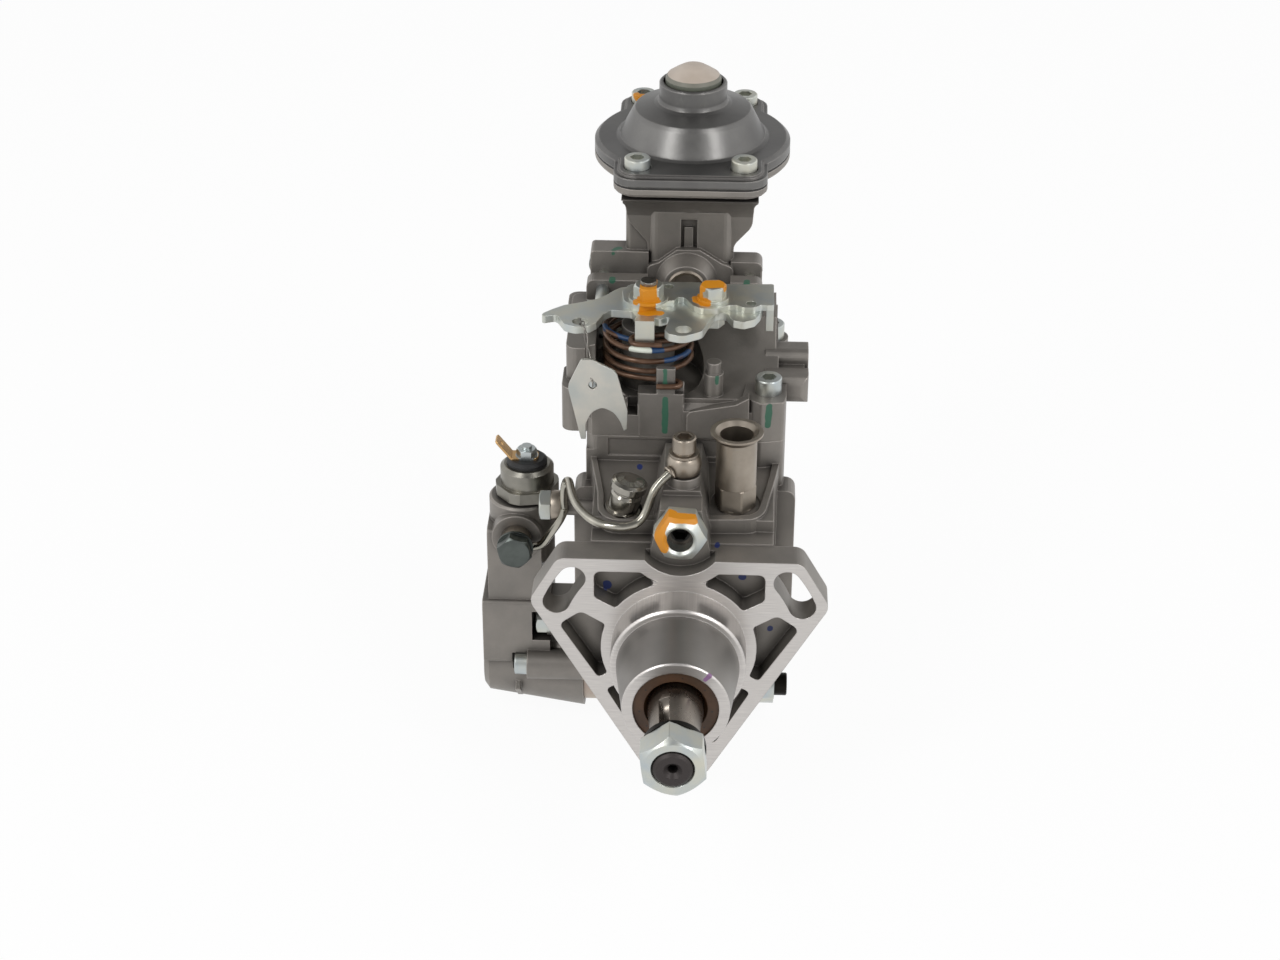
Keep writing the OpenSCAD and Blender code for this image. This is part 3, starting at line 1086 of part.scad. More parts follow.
module drive_shaft() color("lightsteelblue") {
    difference() {
        union() {
            turned_y() polygon([
                [0, -shaft_reach + 6], [1.8, -shaft_reach + 6], [1.8, -shaft_reach + 1.6], [3.4, -shaft_reach],
                [nut_thread_d / 2 - 1, -shaft_reach], [nut_thread_d / 2, -shaft_reach + 1],
                [nut_thread_d / 2, taper_end], [taper_end_r, taper_end + 0.3],
                [shaft_r, taper_start], [shaft_r, vane_y + 0.1], [shaft_r - 0.5, vane_y + 0.1],
                [shaft_r - 0.5, gear_end + 3], [0, gear_end + 3]]);
            rod_y(14.5, gear_end, gear_end + 3);
            for (a = [0, 180]) rotate([0, a, 0]) box(7, 14, gear_end + 2, ring_y + 10, -4, 4);
        }
        // Keyway, a little to the left of the top
        rotate([0, -26, 0]) translate([-keyway_w / 2, taper_end + taper_len / 2, shaft_r + 1.2])
            rod_x(7, 0, keyway_w);
    }
}

module shaft_nut() color("silver") translate([0, nut_back, 0]) rotate([90, 0, 0]) difference() {
    rotate([0, 0, 37]) intersection() {
        hex_head(nut_af, nut_h);
        cylinder(r1 = nut_af / 2 + nut_h + 0.6, r2 = nut_af / 2 - 0.6, h = nut_h);
    }
    translate([0, 0, -1]) cylinder(r = nut_thread_d / 2, h = nut_h + 2);
    translate([0, 0, nut_h - 0.8]) cylinder(r1 = nut_thread_d / 2, r2 = nut_thread_d / 2 + 0.8, h = 0.85);
}

module spring_washer() color("gray") difference() {
    rod_y(nut_af / 2 + 0.4, nut_back, nut_back + nut_washer_t);
    rod_y(nut_thread_d / 2 + 0.2, nut_back - 1, nut_back + nut_washer_t + 1);
    box(-0.7, 0.7, nut_back - 1, nut_back + nut_washer_t + 1, -20, 0);
}

module vane_rotor() color("steelblue") {
    difference() {
        rod_y(rotor_r, vane_y + 0.2, vane_end - 4.2);
        rod_y(shaft_r - 0.5, vane_y - 1, vane_end);
        for (a = [45, 135, 225, 315]) rotate([0, a, 0])
            box(rotor_r - 7, rotor_r + 2, vane_y - 1, vane_end, -1.25, 1.25);
    }
    for (a = [45, 135, 225, 315]) rotate([0, a, 0])
        box(rotor_r - 6.8, rotor_r + 0.1, vane_y + 0.3, vane_end - 4.3, -1.2, 1.2);
}

// Spur gear outline with involute flanks, one tooth centred on the angle first
function involute(a) = tan(a) * 180 / PI - a;
function flank_half(r, m, z, play) =
    90 / z - play / (m * z) * 180 / PI + involute(20) - involute(acos(min(1, m * z * cos(20) / 2 / r)));
function gear_outline(m, z, first, play = 0.2) =
    let (root = m * (z - 2.5) / 2, tip = m * (z + 2) / 2,
         low = max(root + 0.3, m * z * cos(20) / 2 + 0.01),
         radii = [for (k = [0:3]) low + (tip - low) * k / 3])
    [for (i = [0:z - 1]) let (mid = first + 360 * i / z) each concat(
        [root * dir(mid - flank_half(low, m, z, play) - 0.6)],
        [for (r = radii) r * dir(mid - flank_half(r, m, z, play))],
        [for (k = [3:-1:0]) radii[k] * dir(mid + flank_half(radii[k], m, z, play))],
        [root * dir(mid + flank_half(low, m, z, play) + 0.6)])];

module drive_gear() color("dimgray") difference() {
    union() {
        xz_plate(gear_y, gear_end) polygon(gear_outline(tooth_module, drive_teeth, 90));
        rod_y(16, gear_y - 8, gear_y + 0.1);
    }
    rod_y(shaft_r - 0.5, gear_y - 9, gear_end + 1);
    for (a = [0:60:300]) rotate([0, a, 0]) translate([0, 0, 20.5]) rod_y(3, gear_y - 1, gear_end + 1);
}

module cross_coupling() color("slategray") difference() {
    rod_y(15, gear_end + 4.5, ring_y + 9);
    rod_y(4, 0, 99);
    for (a = [0, 180]) rotate([0, a, 0]) box(6.7, 16, 0, 99, -4.3, 4.3);
    for (a = [90, 270]) rotate([0, a, 0]) box(6.7, 16, 0, 99, -4.3, 4.3);
}

module governor_cage() color("lightslategray") translate([0, 0, gov_z]) difference() {
    union() {
        xz_plate(gear_y, gear_end) polygon(gear_outline(tooth_module, gov_teeth, 270 + 180 / gov_teeth));
        rod_y(16, gear_end - 0.1, cage_end);
    }
    rod_y(gov_shaft_r + running_fit, gear_y - 1, cage_end + 1);
    difference() {
        rod_y(13.6, gear_end + 2.5, cage_end + 1);
        rod_y(7, gear_end + 2.4, gear_end + 6);
    }
    for (a = [0, 90, 180, 270]) rotate([0, a, 0]) box(-6, 6, gear_end + 4, cage_end - 3, 6, 20);
}

module flyweights() color("steelblue") translate([0, 0, gov_z])
    for (a = [0, 90, 180, 270]) rotate([0, a, 0]) intersection() {
        union() {
            box(-5.6, 5.6, gear_end + 4.6, cage_end - 3.6, 9.2, 16);
            box(-2, 2, cage_end - 6, cage_end - 0.4, 6.6, 11);
        }
        rod_y(15.8, 0, 120);
    }

module governor_sleeve() color("silver") translate([0, 0, gov_z]) turned_y() polygon([
    [gov_shaft_r + running_fit, sleeve_y], [9.5, sleeve_y], [9.5, sleeve_y + 1.8], [7.2, sleeve_y + 1.8],
    [7.2, sleeve_end - 3], [2.4, sleeve_end], [0, sleeve_end], [0, sleeve_end - 1.4],
    [gov_shaft_r + running_fit, sleeve_end - 1.4]]);

// Timing piston and roller ring

module timing_piston() color("lightsteelblue") {
    difference() {
        translate([0, timing_y, timing_z]) rod_x(timing_r, -22, 26);
        translate([0, timing_y, timing_z]) rod_x(10.5, -23, -12);
        translate([0, timing_y, 0]) rod_z(6.6, timing_z - 9, timing_z + 20);
    }
    translate([0, timing_y, timing_z]) difference() {
        rod_z(6.55, -2.5, 2.5);
        rod_z(4.15, -3, 3);
    }
}

module roller_ring() color("slategray") difference() {
    union() {
        rod_y(ring_r, ring_y, ring_end);
        translate([0, timing_y, 0]) rod_z(pin_r, timing_z - 5, -ring_r + 4);
    }
    rod_y(20, ring_y - 1, ring_end + 1);
    for (a = [0, 90, 180, 270]) rotate([0, a, 0]) translate([0, roller_y, 0]) {
        rod_z(roller_d / 2 + face_gap, 19, ring_r - 2);
        rod_z(2.05, 18, 40);
    }
}

module rollers() color("silver") for (a = [0, 90, 180, 270]) rotate([0, a, 0])
    translate([0, roller_y, 0]) {
        rod_z(roller_d / 2, 20.5, ring_r - 2.3);
        rod_z(2, 20.4, ring_r - 0.3);
    }

module cam_plate() color("lightsteelblue") difference() {
    union() {
        rod_y(29, cam_y, cam_end);
        for (a = [90, 270]) rotate([0, a, 0]) box(7, 14, ring_y + 2, cam_y + 1, -4, 4);
    }
    for (a = [0, 90, 180, 270]) rotate([0, a, 0]) translate([0, cam_y + cam_lift - 20, 0])
        rod_z(20, 18, 40);
}

module plunger() color("lightsteelblue") {
    rod_y(9, cam_end, foot_end);
    difference() {
        rod_y(24.5, foot_end, seat_end);
        rod_y(plunger_r - 0.1, foot_end - 1, seat_end + 1);
    }
    difference() {
        rod_y(plunger_r, foot_end - 1, plunger_end);
        rod_y(1.5, collar_y, plunger_end + 1);
    }
}

module control_collar() color("silver") difference() {
    rod_y(11, collar_y, collar_y + collar_w);
    rod_y(plunger_r + running_fit, collar_y - 1, collar_y + collar_w + 1);
    translate([0, collar_y + collar_w / 2, 0]) rod_z(2.9, 5, 12);
}

module plunger_springs() color("dimgray") for (x = [-18.8, 18.8]) translate([x, 0, 0]) {
    turns = 5;
    start = seat_end + 0.3 + 1;
    swept_tube([for (i = [0:turns * 14]) [5 * cos(360 / 14 * i),
        start + (housing_len - 8 - start - 1.3) * i / (turns * 14), 5 * sin(360 / 14 * i)]], 1, 6);
}

module governor_lever() color("dimgray") {
    ball_y = collar_y + collar_w / 2;
    yz_plate(-5, 5) polygon([
        [sleeve_end + 0.4, gov_z + 18], [sleeve_end + 3, gov_z + 18], [sleeve_end + 3, gov_z - 2],
        [lever_pin_y + 3, lever_pin_z + 1], [lever_pin_y + 3, lever_pin_z - 6],
        [ball_y + 1.2, 15], [ball_y + 1.2, 12.1], [ball_y - 1.4, 12.1], [ball_y - 1.4, 14],
        [lever_pin_y - 0.5, lever_pin_z - 7], [lever_pin_y - 3, lever_pin_z], [sleeve_end + 0.4, gov_z - 4]]);
    translate([0, ball_y, 0]) rod_z(1.2, 9, 12.6);
    translate([0, ball_y, 9]) sphere(r = 2.5);
    translate([0, lever_pin_y, lever_pin_z]) rod_x(2.5, -compartment_in + 0.3, compartment_in - 0.3);
}

// Throttle lever group

lever_outline = [
    [-54.2, 63.5], [-53.4, 66.6], [-50.4, 69.9], [-46, 73.7], [-39.5, 76.4], [-34, 79.4], [-30.6, 82.8],
    [-28.2, 86.6], [-25.6, 89.4], [-22.4, 90.4], [-18, 90.2], [-10, 89], [-4, 86], [14, 84], [26, 83],
    [28.6, 77], [27.4, 70], [25.4, 64.9], [21.2, 62.4], [17.3, 63.8], [15, 69], [12.9, 70.4], [10.6, 68.6],
    [8, 61.5], [6.1, 54.4], [-1, 49.6], [-6.2, 51.6], [-7.8, 54.5], [-6, 66.2], [-9.6, 63.4], [-12, 64.4],
    [-18.4, 64.4], [-20.5, 69.6], [-28.2, 70.4], [-31, 67], [-33.2, 60], [-36, 56.6], [-41, 55.8], [-45, 58],
    [-47.6, 64], [-49, 65.5]];
lever_radii = [1, 2, 3, 4, 3, 3, 3, 3, 2, 2, 3, 3, 3, 0, 3, 3, 2, 2.5, 2.5, 1.5, 2, 1.5, 1.5, 1, 4, 5, 2.5,
    1, 0.8, 1, 0, 0.8, 1.5, 1.5, 2, 2, 3, 4, 2.5, 1, 1];
upper_outline = [
    [-24.6, 82], [-23.6, 73], [-17.5, 68.6], [-10.9, 72.8], [-4.8, 74.6], [-3.4, 77.4], [-1.3, 77.4],
    [2.5, 70.4], [5.8, 68.1], [11.1, 68.3], [15.7, 71.6], [18.6, 71.8], [21, 69.8], [25.3, 70], [27.6, 72.4],
    [30, 72], [32.5, 72.4], [32.5, 90.4], [19.4, 89.4], [2, 90.6], [-7.4, 90.4], [-16, 90], [-22, 87.5]];
upper_radii = [4, 5, 5, 2, 1.5, 0.8, 0.8, 2.5, 3, 3, 2, 1, 2.5, 2.5, 1.5, 1, 0.8, 1, 3, 3, 3, 4, 4];

module control_lever() color("lightgray") {
    difference() {
        xy_plate(lever_z, plate_top) polygon(rounded(lever_outline, lever_radii, 4));
        translate([pivot_x, pivot_y, 0]) rod_z(4, lever_z - 1, plate_top + 1);
        for (p = [[-39.3, 60.4], [-0.9, 55.4], [9.6, 76.5]]) translate(p) rod_z(3, lever_z - 1, plate_top + 1);
    }
    // Tab that the return spring hooks on, and the stop tab of the idle screw
    box(-19, -11.8, 61.5, 64.4, lever_z - 6, plate_top);
    box(-38, -32, ear_y - 23.5, ear_y - 20.5, stop_z - 3, lever_z + 0.5);
}

module upper_lever_plate() color("lightgray") {
    difference() {
        xy_plate(plate_top, upper_top) polygon(rounded(upper_outline, upper_radii, 4));
        translate([pivot_x, pivot_y, 0]) rod_z(4, plate_top - 1, upper_top + 1);
        for (p = [[23.9, 73.6], [-7.3, 86.6]]) translate(p) rod_z(1.9, plate_top - 1, upper_top + 1);
        xy_plate(plate_top - 1, upper_top + 1)
            polygon(rounded([[6.4, 70.6], [12.8, 70.6], [12.8, 83], [6.4, 83]], 3.1));
    }
    // Stop tab at the right end
    box(29.7, 32.5, 76, 82.5, stop_z - 2, plate_top + 0.5);
}

module lever_nut() color("lightgray") translate([pivot_x, pivot_y, upper_top]) difference() {
    union() {
        rod_z(7.4, 0, 1);
        translate([0, 0, 1]) rotate([0, 0, 12]) hex_head(10, 5);
    }
    rod_z(3, -1, 7);
}

module clamp_bolt() color("lightgray") translate([9.6, 76.5, 0]) {
    rod_z(5.9, upper_top, upper_top + 1.2);
    translate([0, 0, upper_top + 1.1]) rotate([0, 0, 12]) hex_head(8.9, 5);
    rod_z(2.9, lever_z - 4, upper_top + 0.1);
    translate([0, 0, lever_z - 5]) hex_head(8, 4.9);
}

module control_shaft() color("silver") translate([pivot_x, pivot_y, 0]) difference() {
    union() {
        rod_z(6, gov_z + 19, lever_z);
        rod_z(4, lever_z - 0.1, upper_top);
        rod_z(3, upper_top - 0.1, upper_top + 7.6);
        translate([3, 0, 0]) rod_z(1.6, gov_z + 17.5, gov_z + 20);
    }
}

module return_spring() color("sienna") {
    mid_r = spring_d / 2 - spring_wire / 2;
    bottom = cover_top + 1.4;
    top = lever_z - 3.2;
    steps = 24;
    // Close coils below, opening towards the lever
    rise = [[0, 0], [0.3, 0.14], [0.55, 0.38], [0.8, 0.74], [1, 1]];
    last = spring_turns * steps - 1;
    coil = [for (i = [0:last]) let (a = -112 - 360 * i / steps)
        [pivot_x + mid_r * cos(a), pivot_y + mid_r * sin(a), bottom + (top - bottom) * lookup(i / last, rise)]];
    // The lower leg passes in front of the post, the upper one hooks behind the tab
    swept_tube(concat([[-1.6, cover_y - 2, bottom], [-8.8, cover_y - 2.1, bottom], [-14.8, cover_y + 0.2, bottom]],
        coil, [[-20.2, 60, top]]), spring_wire / 2, 8);
}

// Tag plate hung from the lever, with its wire

tag_y = 46;
tag_outline = [
    [-38.2, 95.2], [-34.4, 95.4], [-26, 90.9], [-24.9, 89.4], [-21, 74.4], [-21.3, 66.4], [-22.4, 65.8],
    [-23.6, 69.6], [-26.2, 73.6], [-30.4, 75.6], [-34.4, 73.4], [-36.6, 68.6], [-36.6, 62], [-38.4, 62],
    [-40.2, 70.4], [-43.2, 84]];
tag_radii = [1.5, 1.5, 1.5, 1.5, 2, 1, 0, 2, 3, 3, 3, 2, 0, 0, 2, 3];
tag_hole = [-33.9, 84.8];
wire_route = cut_corners([
    [-39.3, 60.6, 100], [-39.2, 60.4, 104.9], [-38.2, 57.6, 104.9], [-37.4, 54, 104.6], [-36.8, 52.8, 100],
    [-35.4, 49.6, 93.5], [-34.3, 47.8, 88], [-33.9, 47, 84.8], [-33.9, 44.6, 84.4]]);

module tag_plate() color("lightgray") {
    difference() {
        xz_plate(tag_y, tag_y + 1.2) polygon(rounded(tag_outline, tag_radii, 3));
        translate([tag_hole.x, 0, tag_hole.y]) rod_y(1.6, tag_y - 1, tag_y + 3);
    }
    swept_tube(wire_route, 0.5, 6);
}

// Draw the chosen node, or all of them
pump_housing();
drive_bush();
shaft_seal();
vane_ring();
governor_cover();
cover_screws();
core_plug();
boost_cover();
boost_cover_screws();
boost_cap();
diaphragm();
distributor_head();
head_screws();
delivery_valve_holders();
head_centre_plug();
shutoff_solenoid();
inlet_fitting();
pressure_valve();
governor_shaft();
governor_shaft_nut();
top_banjo_bolt();
fuel_pipe();
side_banjo_bolt();
lower_banjo_bolt();
cold_start_housing();
cold_start_solenoid();
solenoid_insulator();
solenoid_terminal();
timing_spacer();
timing_cover();
timing_screws();
cold_start_screws();
stop_screws();
full_load_screw();
timing_spring();
plunger_springs();
drive_shaft();
shaft_nut();
spring_washer();
vane_rotor();
drive_gear();
cross_coupling();
governor_cage();
flyweights();
governor_sleeve();
timing_piston();
roller_ring();
rollers();
cam_plate();
plunger();
control_collar();
governor_lever();
control_lever();
upper_lever_plate();
lever_nut();
clamp_bolt();
control_shaft();
return_spring();
tag_plate();
boost_pin();
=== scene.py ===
# %% [markdown]
# # A diesel injection pump, dressed for its portrait
#
# The pump comes from CAD as sixty finished nodes, so this script has two jobs. It gives each
# piece the finish of the real part, and it models the few pieces that plain solids can't show
# well: a wire spring, bent pipes, a stamped tag and its twisted wire. Everything is in metres.
# The origin is where the drive shaft's axis meets the front of the mounting flange, Y runs to
# the rear and Z is up.

# %% Load the solids
import math

import bmesh
import bpy
from mathutils import Matrix, Vector


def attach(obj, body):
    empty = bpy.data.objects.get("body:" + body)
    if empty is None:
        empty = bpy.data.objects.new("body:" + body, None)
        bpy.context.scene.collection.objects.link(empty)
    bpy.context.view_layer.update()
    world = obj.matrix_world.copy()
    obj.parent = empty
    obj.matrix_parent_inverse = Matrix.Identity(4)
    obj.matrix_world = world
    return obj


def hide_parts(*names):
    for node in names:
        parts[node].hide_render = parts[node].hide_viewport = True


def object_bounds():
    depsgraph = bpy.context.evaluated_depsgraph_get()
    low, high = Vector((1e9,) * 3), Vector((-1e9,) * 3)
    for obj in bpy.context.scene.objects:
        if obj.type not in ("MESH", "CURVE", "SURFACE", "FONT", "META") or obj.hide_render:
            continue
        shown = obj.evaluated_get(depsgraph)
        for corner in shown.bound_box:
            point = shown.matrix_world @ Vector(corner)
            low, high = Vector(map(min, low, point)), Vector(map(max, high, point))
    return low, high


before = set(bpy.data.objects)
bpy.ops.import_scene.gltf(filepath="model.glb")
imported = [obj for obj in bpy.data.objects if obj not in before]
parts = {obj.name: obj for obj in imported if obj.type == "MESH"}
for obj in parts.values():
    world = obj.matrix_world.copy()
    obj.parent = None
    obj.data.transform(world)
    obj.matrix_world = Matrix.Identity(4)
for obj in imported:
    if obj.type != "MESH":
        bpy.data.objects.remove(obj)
cad_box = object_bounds()
MM = 0.001
print(len(parts), "nodes, size in mm:", [round((b - a) / MM, 1) for a, b in zip(*cad_box)])

# %% [markdown]
# ## The camera
#
# The picture was taken from in front and above: the lens looks 30 degrees down and about 2
# degrees to the left. A long lens, 73 mm on a 36 mm sensor, keeps the perspective mild. The
# camera is turned by a matrix made from its right, up and backward directions, which is easier
# to check than three angles. Its place and angles were fitted until the flange's slots, the
# deck and the boost cover lay on their places in the picture.

# %% Place the camera
PICTURE_WIDTH, FOCAL_PIXELS, SENSOR_MM = 1280, 2600, 36
CAMERA_MM = (14.74, -799.29, 537.13)
PITCH, YAW, ROLL = math.radians(30.2), math.radians(2.1), math.radians(0.3)

look = Vector((-math.sin(YAW) * math.cos(PITCH), math.cos(YAW) * math.cos(PITCH), -math.sin(PITCH)))
level_right = Vector((math.cos(YAW), math.sin(YAW), 0))
level_up = level_right.cross(look)
right = level_right * math.cos(ROLL) + level_up * math.sin(ROLL)
up = level_up * math.cos(ROLL) - level_right * math.sin(ROLL)

lens = bpy.data.cameras.new("portrait lens")
lens.sensor_width = SENSOR_MM
lens.lens = FOCAL_PIXELS / PICTURE_WIDTH * SENSOR_MM
lens.clip_start = 0.05
camera = bpy.data.objects.new("camera", lens)
bpy.context.collection.objects.link(camera)
facing = Matrix((right, up, -look)).transposed().to_4x4()
facing.translation = Vector(CAMERA_MM) * MM
camera.matrix_world = facing
bpy.context.scene.camera = camera
bpy.context.scene.view_settings.view_transform = "Standard"
print("lens of", round(lens.lens, 1), "mm,", round(facing.translation.length, 2), "m from the flange")

# %% [markdown]
# ## Colours and nodes
#
# Colours are written as the hex values that a paint program shows, and one function turns them
# to the linear values that Blender's shaders work with. A second function adds a node, sets it
# up and links it, so that each material below reads as a short recipe. A third says what scale
# a noise needs for blobs of a real size.

# %% Colour and node helpers
def linear(hex_colour):
    """A colour such as "#8d8781" as linear red, green, blue and an alpha of 1."""
    channels = [int(hex_colour[i:i + 2], 16) / 255 for i in (1, 3, 5)]
    return [c / 12.92 if c <= 0.04045 else ((c + 0.055) / 1.055) ** 2.4 for c in channels] + [1]


def add(tree, kind, inputs=None, **settings):
    """Adds a shader node with its settings and links.

    inputs maps a socket's name or number to a value, a hex colour, another node's output, or
    another node, which stands for its first output.
    """
    made = tree.nodes.new("ShaderNode" + kind)
    for name, value in settings.items():
        setattr(made, name, value)
    for name, value in (inputs or {}).items():
        if isinstance(value, bpy.types.Node):
            value = value.outputs[0]
        if isinstance(value, bpy.types.NodeSocket):
            tree.links.new(value, made.inputs[name])
        else:
            made.inputs[name].default_value = linear(value) if isinstance(value, str) else value
    return made


def blobs(size_mm):
    """The scale at which a noise has blobs about size_mm across."""
    return 0.5 / (size_mm * MM)


print("mid grey #808080 is", round(linear("#808080")[0], 3), "in linear light")
print("blobs of 9 mm need a noise scale of", round(blobs(9), 1))

# %% [markdown]
# ## What a finish is made of
#
# Every material starts as one Principled surface and the place of each point on the pump. Three
# things are then put together in different measures: two shades in clouds, a shine that
# wanders, and a fine relief on softened edges. An even colour with an even shine would be
# simpler, but no made surface is that even, and the eye takes it for a drawing.

# %% A bare surface
def new_material(name, **surface):
    """A material with one Principled surface. Returns it, its nodes, the surface, the place."""
    material = bpy.data.materials.new(name)
    material.use_nodes = True
    tree = material.node_tree
    tree.nodes.clear()
    shader = add(tree, "BsdfPrincipled", surface)
    add(tree, "OutputMaterial", {"Surface": shader})
    return material, tree, shader, add(tree, "TexCoord").outputs["Object"]


print("a bare material has a surface, an output and a place")

# %% Shades, shine and relief
PLAIN_CLOUDS = {"Detail": 3.0, "Roughness": 0.55}


def mottled(tree, where, low, high, size_mm, marks=(0.35, 0.65), **clouds):
    """Two shades in clouds about size_mm across, which blend between the two marks."""
    clouds = add(tree, "TexNoise", {"Vector": where, "Scale": blobs(size_mm), **PLAIN_CLOUDS,
                                    **clouds})
    shades = add(tree, "ValToRGB", {"Fac": clouds})
    for stop, mark, shade in zip(shades.color_ramp.elements, marks, (low, high)):
        stop.position = mark
        stop.color = linear(shade)
    return shades


def wandering_shine(tree, shader, where, roughness, spread, size_mm):
    """Roughness that wanders about a value by the spread, in clouds about size_mm across."""
    clouds = add(tree, "TexNoise", {"Vector": where, "Scale": blobs(size_mm), **PLAIN_CLOUDS})
    wander = add(tree, "Math", {0: clouds, 1: spread, 2: roughness - spread / 2},
                 operation="MULTIPLY_ADD")
    tree.links.new(wander.outputs[0], shader.inputs["Roughness"])


def fine_relief(tree, shader, where, size_mm, depth_mm, edge_mm, **clouds):
    """Bumps about size_mm across and depth_mm deep, on edges rounded by edge_mm."""
    bumps = add(tree, "TexNoise", {"Vector": where, "Scale": blobs(size_mm), **PLAIN_CLOUDS,
                                   **clouds})
    softened = add(tree, "Bevel", {"Radius": edge_mm * MM}, samples=6)
    relief = add(tree, "Bump", {"Height": bumps, "Distance": depth_mm * MM, "Strength": 1.0,
                                "Normal": softened})
    tree.links.new(relief.outputs[0], shader.inputs["Normal"])
    return relief


print("clouds of", PLAIN_CLOUDS["Detail"], "octaves, unless a finish asks for others")

# %% [markdown]
# ## Marker paint
#
# On the assembly line each checked joint gets a dab of paint. A dab is a short brush stroke: a
# line from one point to another with a radius. Inside a material, the distance from a surface
# point to that line says whether the paint covers it, and a little noise frays its edge. An
# image would need an unwrapped surface, and a dab needs only two points on the pump.
#
# A coat lies over whatever the surface has so far. In the Mix node that does it, sockets 6 and 7
# are the two colours, and 2 and 3 the two numbers.

# %% A coat over part of a surface
def coat(tree, shader, cover, colour, roughness, metallic):
    """Another finish where cover is 1. Where it is 0 the surface stays as it was."""
    for socket, value, kind, under, result in (("Base Color", colour, "RGBA", 6, 2),
                                               ("Roughness", roughness, "FLOAT", 2, 0),
                                               ("Metallic", metallic, "FLOAT", 2, 0)):
        coated = shader.inputs[socket]
        before = coated.links[0].from_socket if coated.links else coated.default_value
        both = add(tree, "Mix", {0: cover, under: before, under + 1: value}, data_type=kind)
        tree.links.new(both.outputs[result], coated)


print("a coat changes colour, roughness and metallic together")

# %% Paint dabs
PAINT_EDGE = 0.12
BRISTLE = 1.6


def dab(tree, where, bristles, start, end, radius, fray=0.5):
    """1 on the surface near the line from start to end, all in mm, and 0 elsewhere."""
    a, b = Vector(start) * MM, Vector(end) * MM
    along = b - a
    away = add(tree, "VectorMath", {0: where, 1: a}, operation="SUBTRACT")
    reach = add(tree, "VectorMath", {0: away, 1: along}, operation="DOT_PRODUCT").outputs["Value"]
    share = add(tree, "Math", {0: reach, 1: 1 / max(along.length_squared, 1e-12)},
                operation="MULTIPLY", use_clamp=True)
    nearest = add(tree, "VectorMath", {0: along, "Scale": share}, operation="SCALE")
    gap = add(tree, "VectorMath", {0: away, 1: nearest}, operation="DISTANCE").outputs["Value"]
    frayed = add(tree, "Math", {0: bristles, 1: fray * MM * 2, 2: gap}, operation="MULTIPLY_ADD")
    return add(tree, "MapRange", {"Value": frayed, "From Min": (radius + fray + PAINT_EDGE) * MM,
                                  "From Max": (radius + fray - PAINT_EDGE) * MM})


def paint(tree, shader, where, dabs, colour, roughness=0.45, metallic=0.0):
    """Brushes dabs of (start, end, radius) over the finish that the surface has so far."""
    bristles = add(tree, "TexNoise", {"Vector": where, "Scale": blobs(BRISTLE), **PLAIN_CLOUDS})
    cover = dab(tree, where, bristles, *dabs[0])
    for one in dabs[1:]:
        cover = add(tree, "Math", {0: cover, 1: dab(tree, where, bristles, *one)},
                    operation="MAXIMUM")
    coat(tree, shader, cover, colour, roughness, metallic)


print("paint edges fade over", 2 * PAINT_EDGE, "mm")

# %% [markdown]
# ## Die cast aluminium
#
# The housing, the governor cover and the cold start unit are pressure die castings. The skin is
# a warm matt grey: metal, but so finely rough that nothing mirrors in it, with clouds a few
# millimetres wide where the melt cooled differently. The mould rounds every edge, and a Bevel
# node softens the normals there as the eye expects. Light and shade are also painted into the
# colour. A painted highlight runs along the edges, from a mask made by that same bevel, and
# painted shade lies in the corners, from ambient occlusion, which knows how closed in a point is.

# %% Cast skin
CAST_DARK, CAST_LIGHT = "#7d7974", "#8c8781"
# Painted shade for the corners, and a painted highlight for the edges
PAINTED_SHADE, PAINTED_HIGHLIGHT = "#2b2826", "#bdb6af"


def with_painted_highlight(tree, colour, bright, reach_mm):
    """Paints a highlight: lightens a colour along edges, within reach_mm of them."""
    rounded = add(tree, "Bevel", {"Radius": reach_mm * MM}, samples=6)
    normal = add(tree, "NewGeometry").outputs["Normal"]
    likeness = add(tree, "VectorMath", {0: rounded, 1: normal}, operation="DOT_PRODUCT")
    amount = add(tree, "MapRange", {"Value": likeness.outputs["Value"], "From Min": 0.99,
                                    "From Max": 0.85, "To Min": 0.0, "To Max": 0.55})
    return add(tree, "Mix", {0: amount, 6: colour, 7: bright}, data_type="RGBA").outputs[2]


def with_painted_shade(tree, colour, reach_mm):
    """Paints shade: darkens a colour in corners that are closed in within reach_mm."""
    open_sky = add(tree, "AmbientOcclusion", {"Distance": reach_mm * MM}, samples=4).outputs["AO"]
    amount = add(tree, "MapRange", {"Value": open_sky, "From Min": 0.35, "From Max": 0.95,
                                    "To Min": 0.75, "To Max": 0.0})
    return add(tree, "Mix", {0: amount, 6: colour, 7: PAINTED_SHADE}, data_type="RGBA").outputs[2]


def cast_metal(name):
    """Matt cast aluminium: cloudy and gritty, with a painted highlight on its edges and painted shade
    in its corners.
    """
    material, tree, shader, where = new_material(name, Metallic=0.7)
    clouds = mottled(tree, where, CAST_DARK, CAST_LIGHT, 9, (0.32, 0.68), Detail=6.0, Roughness=0.6)
    # Painted highlight along the edges, then painted shade in the corners
    skin = with_painted_shade(tree, with_painted_highlight(tree, clouds, PAINTED_HIGHLIGHT, 0.8), 5)
    tree.links.new(skin, shader.inputs["Base Color"])
    wandering_shine(tree, shader, where, roughness=0.46, spread=0.16, size_mm=5)
    relief = fine_relief(tree, shader, where, size_mm=0.5, depth_mm=0.035, edge_mm=0.6, Detail=2.0)
    return material, tree, shader, where, relief


parts["cold_start_housing"].data.materials[0] = cast_metal("die cast aluminium")[0]
print("the cold start unit has its cast skin")

# %% [markdown]
# ## The housing with its machined faces
#
# The flange's front, the pilot and the ring at the nose's end were machined after casting, and
# there the metal is bright. The nose between them was turned more coarsely. One material holds
# all of it, because they are one casting: how far forward a point lies, and how far from the
# shaft's axis, tells which tool has been there. Blue and purple marks from the inspection lie
# on top.

